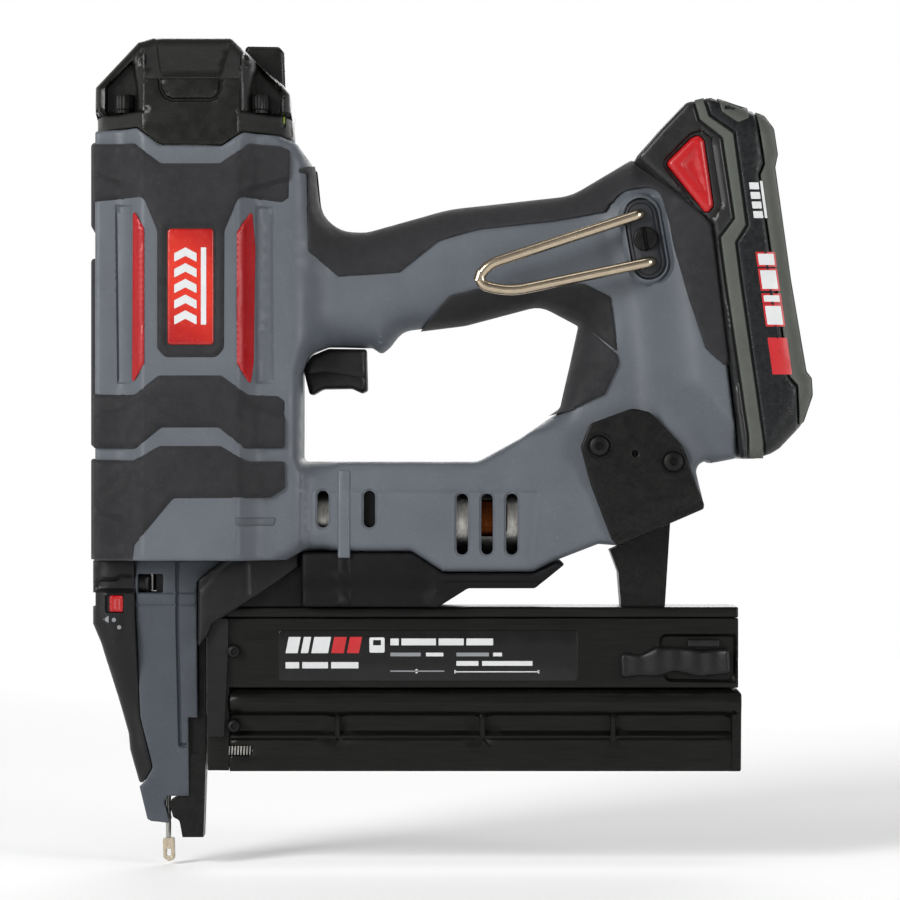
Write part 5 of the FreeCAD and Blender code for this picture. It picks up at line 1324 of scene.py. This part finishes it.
skin("hook_screw_head", disc(*HOOK_SCREW, 4.6), screw_height, STEEL_BLACK, back=24, edge=(0.7, 0.8),
     spacing=1.2, replaces=("hook_screw",), creases=line_creases(HOOK_SLOT, 0.8,
     (-0.75, -0.3, 0.3, 0.75)))

# ---------------------------------------------------------------- trigger

TRIGGER = [
    (-60, -39.5, 2), (-57.2, -34, 4), (-50.5, -31.2, 3), (-35.8, -31.4, 1), (-35.4, -47.4, 1.2),
    (-37.6, -48.4, 1.2), (-41.5, -46.6, 3), (-52.5, -46.8, 4), (-57.5, -49.8, 1.5),
]
TRIGGER_LINE = [(-58.6, -41), (-52, -40), (-36.6, -42.4)]
skin("trigger_lever", TRIGGER, lambda x, z, gap: 7.5 - groove(x, z, TRIGGER_LINE, 0.7, 0.35), BLACK,
     "trigger", through=True, edge=(2.2, 2.6), spacing=1.8, replaces=("trigger",),
     creases=line_creases(TRIGGER_LINE, 1.3, (-0.35, 0, 0.35)))

lathe("trigger_pin_rod", [(1.3, -7.3), (1.5, -7.1), (1.5, 7.1), (1.3, 7.3)], (-56.6, 0, -39.6), (0, 1, 0),
      STEEL_BLACK, count=20, replaces=("trigger_pin",))

# ---------------------------------------------------------------- magazine

RAIL_TOP = rectangle(-95.2, 106.2, -134.1, -130, 0.6)
UPPER_WALL = [(-96.4, -192.4, 0.6), (-88.3, -192.4), (-88.3, -160.8), (106.2, -160.8, 0.4),
              (106.2, -134.3, 0.4), (-96.4, -134.3)]
LATCH_BED = [(75.4, -140.2, 3), (105.6, -140.2), (105.6, -159, 1), (78, -158.6, 3)]
EJECTORS = [(59, -139.2, 3.4), (-58, -146, 3), (20, -150, 3)]
magazine_creases = rim_creases(LATCH_BED, 1.6, (0.01, 0.6, 1.2))


def upper_height(x, z, gap):
    height = RAIL_HALF - sunk(x, z, LATCH_BED, 1.6, 1.2)
    for x0, z0, radius in EJECTORS:
        height = height - 0.12 * np.exp(-((np.hypot(x - x0, z - z0) - radius) / 0.25) ** 2)
    return height


def slider_height(x, z, gap):
    """The drawn section of the sliding half: a tube, a ribbed channel and a flat skirt."""
    tube = 9.8 + np.sqrt(np.maximum(TUBE_RADIUS ** 2 - (z - TUBE_Z) ** 2, 0))
    channel = 9.9 + 2.0 * smooth_step((-177.4 - z) / 1.8)
    skirt = RAIL_HALF * smooth_step((-179.4 - z) / 1.6)
    height = np.maximum(np.maximum(tube * (z > -171.3), channel), skirt)
    for rib in SLIDER_RIBS:
        off = np.abs(z - CHANNEL_Z)
        rise = 12.7 - 1.2 * np.clip((off - 2.6) / 2, 0, 1) ** 2
        height = np.maximum(height, rise * (np.abs(x - rib) < 0.86) * (off < 5))
    end = 13.6 * smooth_step((x - 103.1) / 0.7)
    height = np.maximum(height, end * (z < -170.6))
    return height - 1.8 * smooth_step(signed(x, z, SPRING_SLOT) / 0.4)


TUBE_Z, TUBE_RADIUS = -166.4, 4.9
CHANNEL_Z = -175.4
SLIDER_RIBS = (-46.8, 8.6, 58.4)
SPRING_SLOT = rectangle(-89.6, -79, -187, -182.6, 2)
SLIDER = [(-88, -161.3), (106, -161.3, 0.5), (107.4, -163.2, 1), (107.2, -192.7, 0.8), (-88, -192.7)]
slider_creases = rim_creases(SPRING_SLOT, 1.2, (0.01, 0.4))
for rib in SLIDER_RIBS:
    slider_creases += crease(rib, -171, rib, -180.6, 1.2, (-1.1, -0.8, 0.8, 1.1))
slider_creases += crease(103.4, -171, 103.4, -191, 1.6, (-0.5, 0, 0.5))
for z in (-162.4, -163.4, -164.6, -166.4, -168.2, -169.4, -170.4, -171.2, -171.6, -177.4, -179.2, -180, -181):
    slider_creases += crease(-87.4, z, 105, z, 4)
skin("magazine_rail", RAIL_TOP, RAIL_HALF, MAGAZINE, through=True, spacing=6,
     edge=(1, 1), replaces=("magazine_body",))
skin("magazine_upper", UPPER_WALL, upper_height, MAGAZINE, back=9, sides=LEFT, spacing=4.5,
     edge=(0.4, 0.4), creases=magazine_creases)
BAYS = [rectangle(x, x + 30, -188, -140, 2) for x in (-90, -56, -22, 12, 46)]


def far_height(x, z, gap):
    height = np.full_like(x, RAIL_HALF)
    for bay in BAYS:
        height = height - sunk(x, z, bay, 1.2, 0.6)
    return height


skin("magazine_far", [(-95.2, -192.6), (106.2, -192.6, 0.6), (106.2, -134.3), (-95.2, -134.3)],
     far_height, MAGAZINE, back=1.6, sides=RIGHT, spacing=7, edge=(0.7, 0.7),
     creases=[p for bay in BAYS for p in rim_creases(bay, 3, (0.01, 0.6))])
skin("slider_face", SLIDER, slider_height, MAGAZINE, "magazine_slider", back=1.6, sides=LEFT,
     spacing=5, edge=(0.5, 0.5), creases=slider_creases, replaces=("magazine_slider",))
skin("slider_inner", [(-88, -161), (104, -161), (104, -134.6), (-88, -134.6)], 8.6, MAGAZINE,
     "magazine_slider", back=6.3, sides=LEFT, spacing=10)
for index in range(9):
    x = -88.2 + 1.15 * index
    lathe(f"spring_coil_{index + 1}", [(0.1, -1.9), (0.3, -1.7), (0.36, 0), (0.3, 1.7), (0.1, 1.9)],
          (x, -11.9, -184.8), (0.06, 0, 1), STEEL, "magazine_slider", count=10)

EAR_SCREW = [(2.5, 13.2), (2.5, 16), (2.1, 16.7), (1.2, 16.9), (1.1, 15.8), (0.1, 15.8)]
SHELF = [(-96.2, -134.6, 0.6), (-88.6, -134.6, 1), (-88.6, -145, 1), (-90, -179.4, 1), (-96.2, -179.4, 0.6)]
skin("magazine_ear", SHELF, 15.3, BLACK, back=13.1, edge=(0.8, 0.8), spacing=3)
for side, suffix in SIDE_NAMES:
    for index, z in enumerate((-147.6, -176)):
        lathe(f"ear_screw_{suffix}_{index + 1}", EAR_SCREW,
              (-86.2, 0, z + 0.8), (0, side, 0), STEEL_BLACK, count=28,
              replaces=("magazine_screws",) if side < 0 and not index else ())

LEVER = [
    (61, -147, 2), (68.6, -148.2, 4), (74.6, -145.2, 3), (84, -145.6, 4), (92, -146.6, 4),
    (102.6, -145.8, 1.4), (103, -155.4, 2), (92, -156.6, 4), (82, -154.6, 4), (75, -156.4, 4),
    (68.4, -156.4, 3), (61.4, -157, 1.6),
]


def lever_height(x, z, gap):
    return 15.3 + 0.7 * np.cos((x - 61.5) * 0.44) + 0.35 * smooth_step((x - 98) / 4)


skin("latch_lever", LEVER, lever_height, BLACK, "latch", back=13.5, sides=LEFT, spacing=1.8,
     edge=(1.5, 1.7), replaces=("magazine_latch",))
skin("latch_hinge", rectangle(86.8, 99, -145.2, -142.4, 0.6), 14.6, BLACK, back=11.2,
     sides=LEFT, edge=(0.6, 0.8), spacing=2)

# ---------------------------------------------------------------- label

LABEL_PLATE = rectangle(-69.3, 44.8, -158.2, -138.8, 1.6)
skin("label_plate", LABEL_PLATE, 13.3, LABEL, back=13, sides=LEFT, edge=(0.3, 0.15),
     spacing=8, replaces=("magazine_label",))


def label_mark(name, outline, material, holes=()):
    """A printed mark on the label."""
    skin(name, outline, 13.36, material, back=13.2, sides=LEFT, profile=FLAT, spacing=6,
         holes=holes)


def slanted(x_low, x_high, z_low, z_high, slant=1.2):
    """A block whose ends lean over."""
    return [(x_low, z_low, 0.2), (x_high, z_low, 0.2), (x_high + slant, z_high, 0.2),
            (x_low + slant, z_high, 0.2)]


TITLE = [
    (-66.6, -62, INK_WHITE), (-60.8, -58, INK_WHITE), (-56.8, -50.4, INK_WHITE), (-49.2, -44.4, INK_RED),
    (-43.2, -38.6, INK_RED),
]
for index, (start, end, material) in enumerate(TITLE):
    label_mark(f"label_title_{index + 1}", slanted(start, end, -147.6, -141.4), material)
label_mark("label_badge", rectangle(-34.6, -28.8, -147.4, -141.6, 0.6), INK_WHITE,
           [rectangle(-33.2, -30.2, -144.6, -142.6, 0.2)])
LABEL_ROWS = [
    (-144.6, -142, INK_WHITE, ((-26.6, -23.4), (-22.4, -9.2), (-8.2, 1.4), (2.4, 12.6))),
    (-153.4, -151, INK_WHITE, ((-66.6, -61.4), (-60.2, -50.4), (-49.2, -38.8))),
    (-148.8, -147.4, INK_GREY, ((-26.6, -15),)), (-148.8, -147.4, INK_WHITE, ((-13, -6.4),)),
    (-148.8, -147.4, INK_GREY, ((-1.4, 11),)), (-148.8, -147.4, INK_WHITE, ((12.6, 16),)),
    (-152.4, -150.6, INK_WHITE, ((-1.4, 7), (8.4, 27.6))), (-154.7, -154.2, INK_GREY, ((-26.6, -6),)),
    (-155.2, -153.7, INK_WHITE, ((-17, -16.2),)), (-154.9, -154.5, INK_WHITE, ((-2, 30),)),
    (-155.3, -154.1, INK_WHITE, ((-2.2, -1.6), (29.6, 30.2))),
]
bar_count = 0
for z_low, z_high, material, bars in LABEL_ROWS:
    for x_low, x_high in bars:
        bar_count += 1
        label_mark(f"label_bar_{bar_count}", rectangle(x_low, x_high, z_low, z_high, 0.12), material)

# ---------------------------------------------------------------- setting


def finish_cad_nodes():
    """Gives every carried-over CAD node the finish of its slot."""
    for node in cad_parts.values():
        slot_name = node.data.materials[0].name.split(".")[0] if node.data.materials else ""
        material = SLOT_FINISHES.get(slot_name, (STEEL,))[0]
        node.data.materials.clear()
        node.data.materials.append(material)


finish_cad_nodes()


def area_light(name, place, aim, size, power):
    """A rectangular lamp in metres and watts, turned towards its aim."""
    lamp = bpy.data.lights.new(name, "AREA")
    lamp.shape = "RECTANGLE"
    lamp.size, lamp.size_y = size
    lamp.energy = power
    thing = bpy.data.objects.new(name, lamp)
    thing.location = place
    thing.rotation_euler = (Vector(aim) - Vector(place)).to_track_quat("-Z", "Y").to_euler()
    bpy.context.scene.collection.objects.link(thing)


area_light("key", (-1.3, -1.5, 0.7), (-0.02, 0, -0.05), (0.7, 1.0), 44)
area_light("fill", (1.5, -1.2, 0.2), (0.02, 0, -0.07), (0.6, 1.2), 17)
area_light("top", (0.1, -0.3, 1.7), (0, 0, -0.05), (1.2, 0.6), 4.5)
area_light("back", (0.3, 1.8, 0.7), (0, 0, -0.05), (1.6, 1.0), 16)

world = bpy.data.worlds.new("studio")
bpy.context.scene.world = world
world.use_nodes = True
world.node_tree.nodes["Background"].inputs["Color"].default_value = (1, 1, 1, 1)
sky = world.node_tree.nodes
sky_place = sky.new("ShaderNodeTexCoord")
sky_parts = sky.new("ShaderNodeSeparateXYZ")
sky_level = sky.new("ShaderNodeMath")
sky_level.operation = "MULTIPLY"
world.node_tree.links.new(sky_place.outputs["Generated"], sky_parts.inputs["Vector"])
for index, (axis, ends) in enumerate((("Z", (0.2, 0.75, 1.0, 0.2)), ("Y", (-0.75, 0.1, 0.42, 1.0)))):
    fade = sky.new("ShaderNodeMapRange")
    for key, number in zip(("From Min", "From Max", "To Min", "To Max"), ends):
        fade.inputs[key].default_value = number
    world.node_tree.links.new(sky_parts.outputs[axis], fade.inputs["Value"])
    world.node_tree.links.new(fade.outputs["Result"], sky_level.inputs[index])
world.node_tree.links.new(sky_level.outputs["Value"], sky["Background"].inputs["Strength"])

floor_mesh = bpy.data.meshes.new("floor")
floor_work = bmesh.new()
bmesh.ops.create_circle(floor_work, cap_ends=True, segments=96, radius=1.5)
floor_work.to_mesh(floor_mesh)
floor_work.free()
floor = bpy.data.objects.new("floor", floor_mesh)
floor.location = (0, 0, cad_low.z - 0.001)
bpy.context.scene.collection.objects.link(floor)
floor_finish = Finish("floor_paper", roughness=0.9, specular=0.1)
floor_mesh.materials.append(floor_finish.finish(
    floor_finish.mix(floor_finish.noise(300, 2), (0.96, 0.96, 0.96, 1), (0.98, 0.98, 0.98, 1))))
floor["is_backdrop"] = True

bpy.context.scene.view_settings.view_transform = "Standard"
camera_data = bpy.data.cameras.new("camera")
SENSOR_WIDTH = 36
CAMERA_AWAY = 1500
VIEW_WIDTH = 346.5       # width in millimetres that the camera sees at the tool's mid-plane
camera_data.sensor_width = SENSOR_WIDTH
camera_data.lens = SENSOR_WIDTH * CAMERA_AWAY / VIEW_WIDTH
camera = bpy.data.objects.new("camera", camera_data)
camera.location = (-3.85 * MM, -CAMERA_AWAY * MM, -70.07 * MM)
camera.rotation_euler = (math.pi / 2, 0, 0)
bpy.context.scene.collection.objects.link(camera)
bpy.context.scene.camera = camera

low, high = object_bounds()
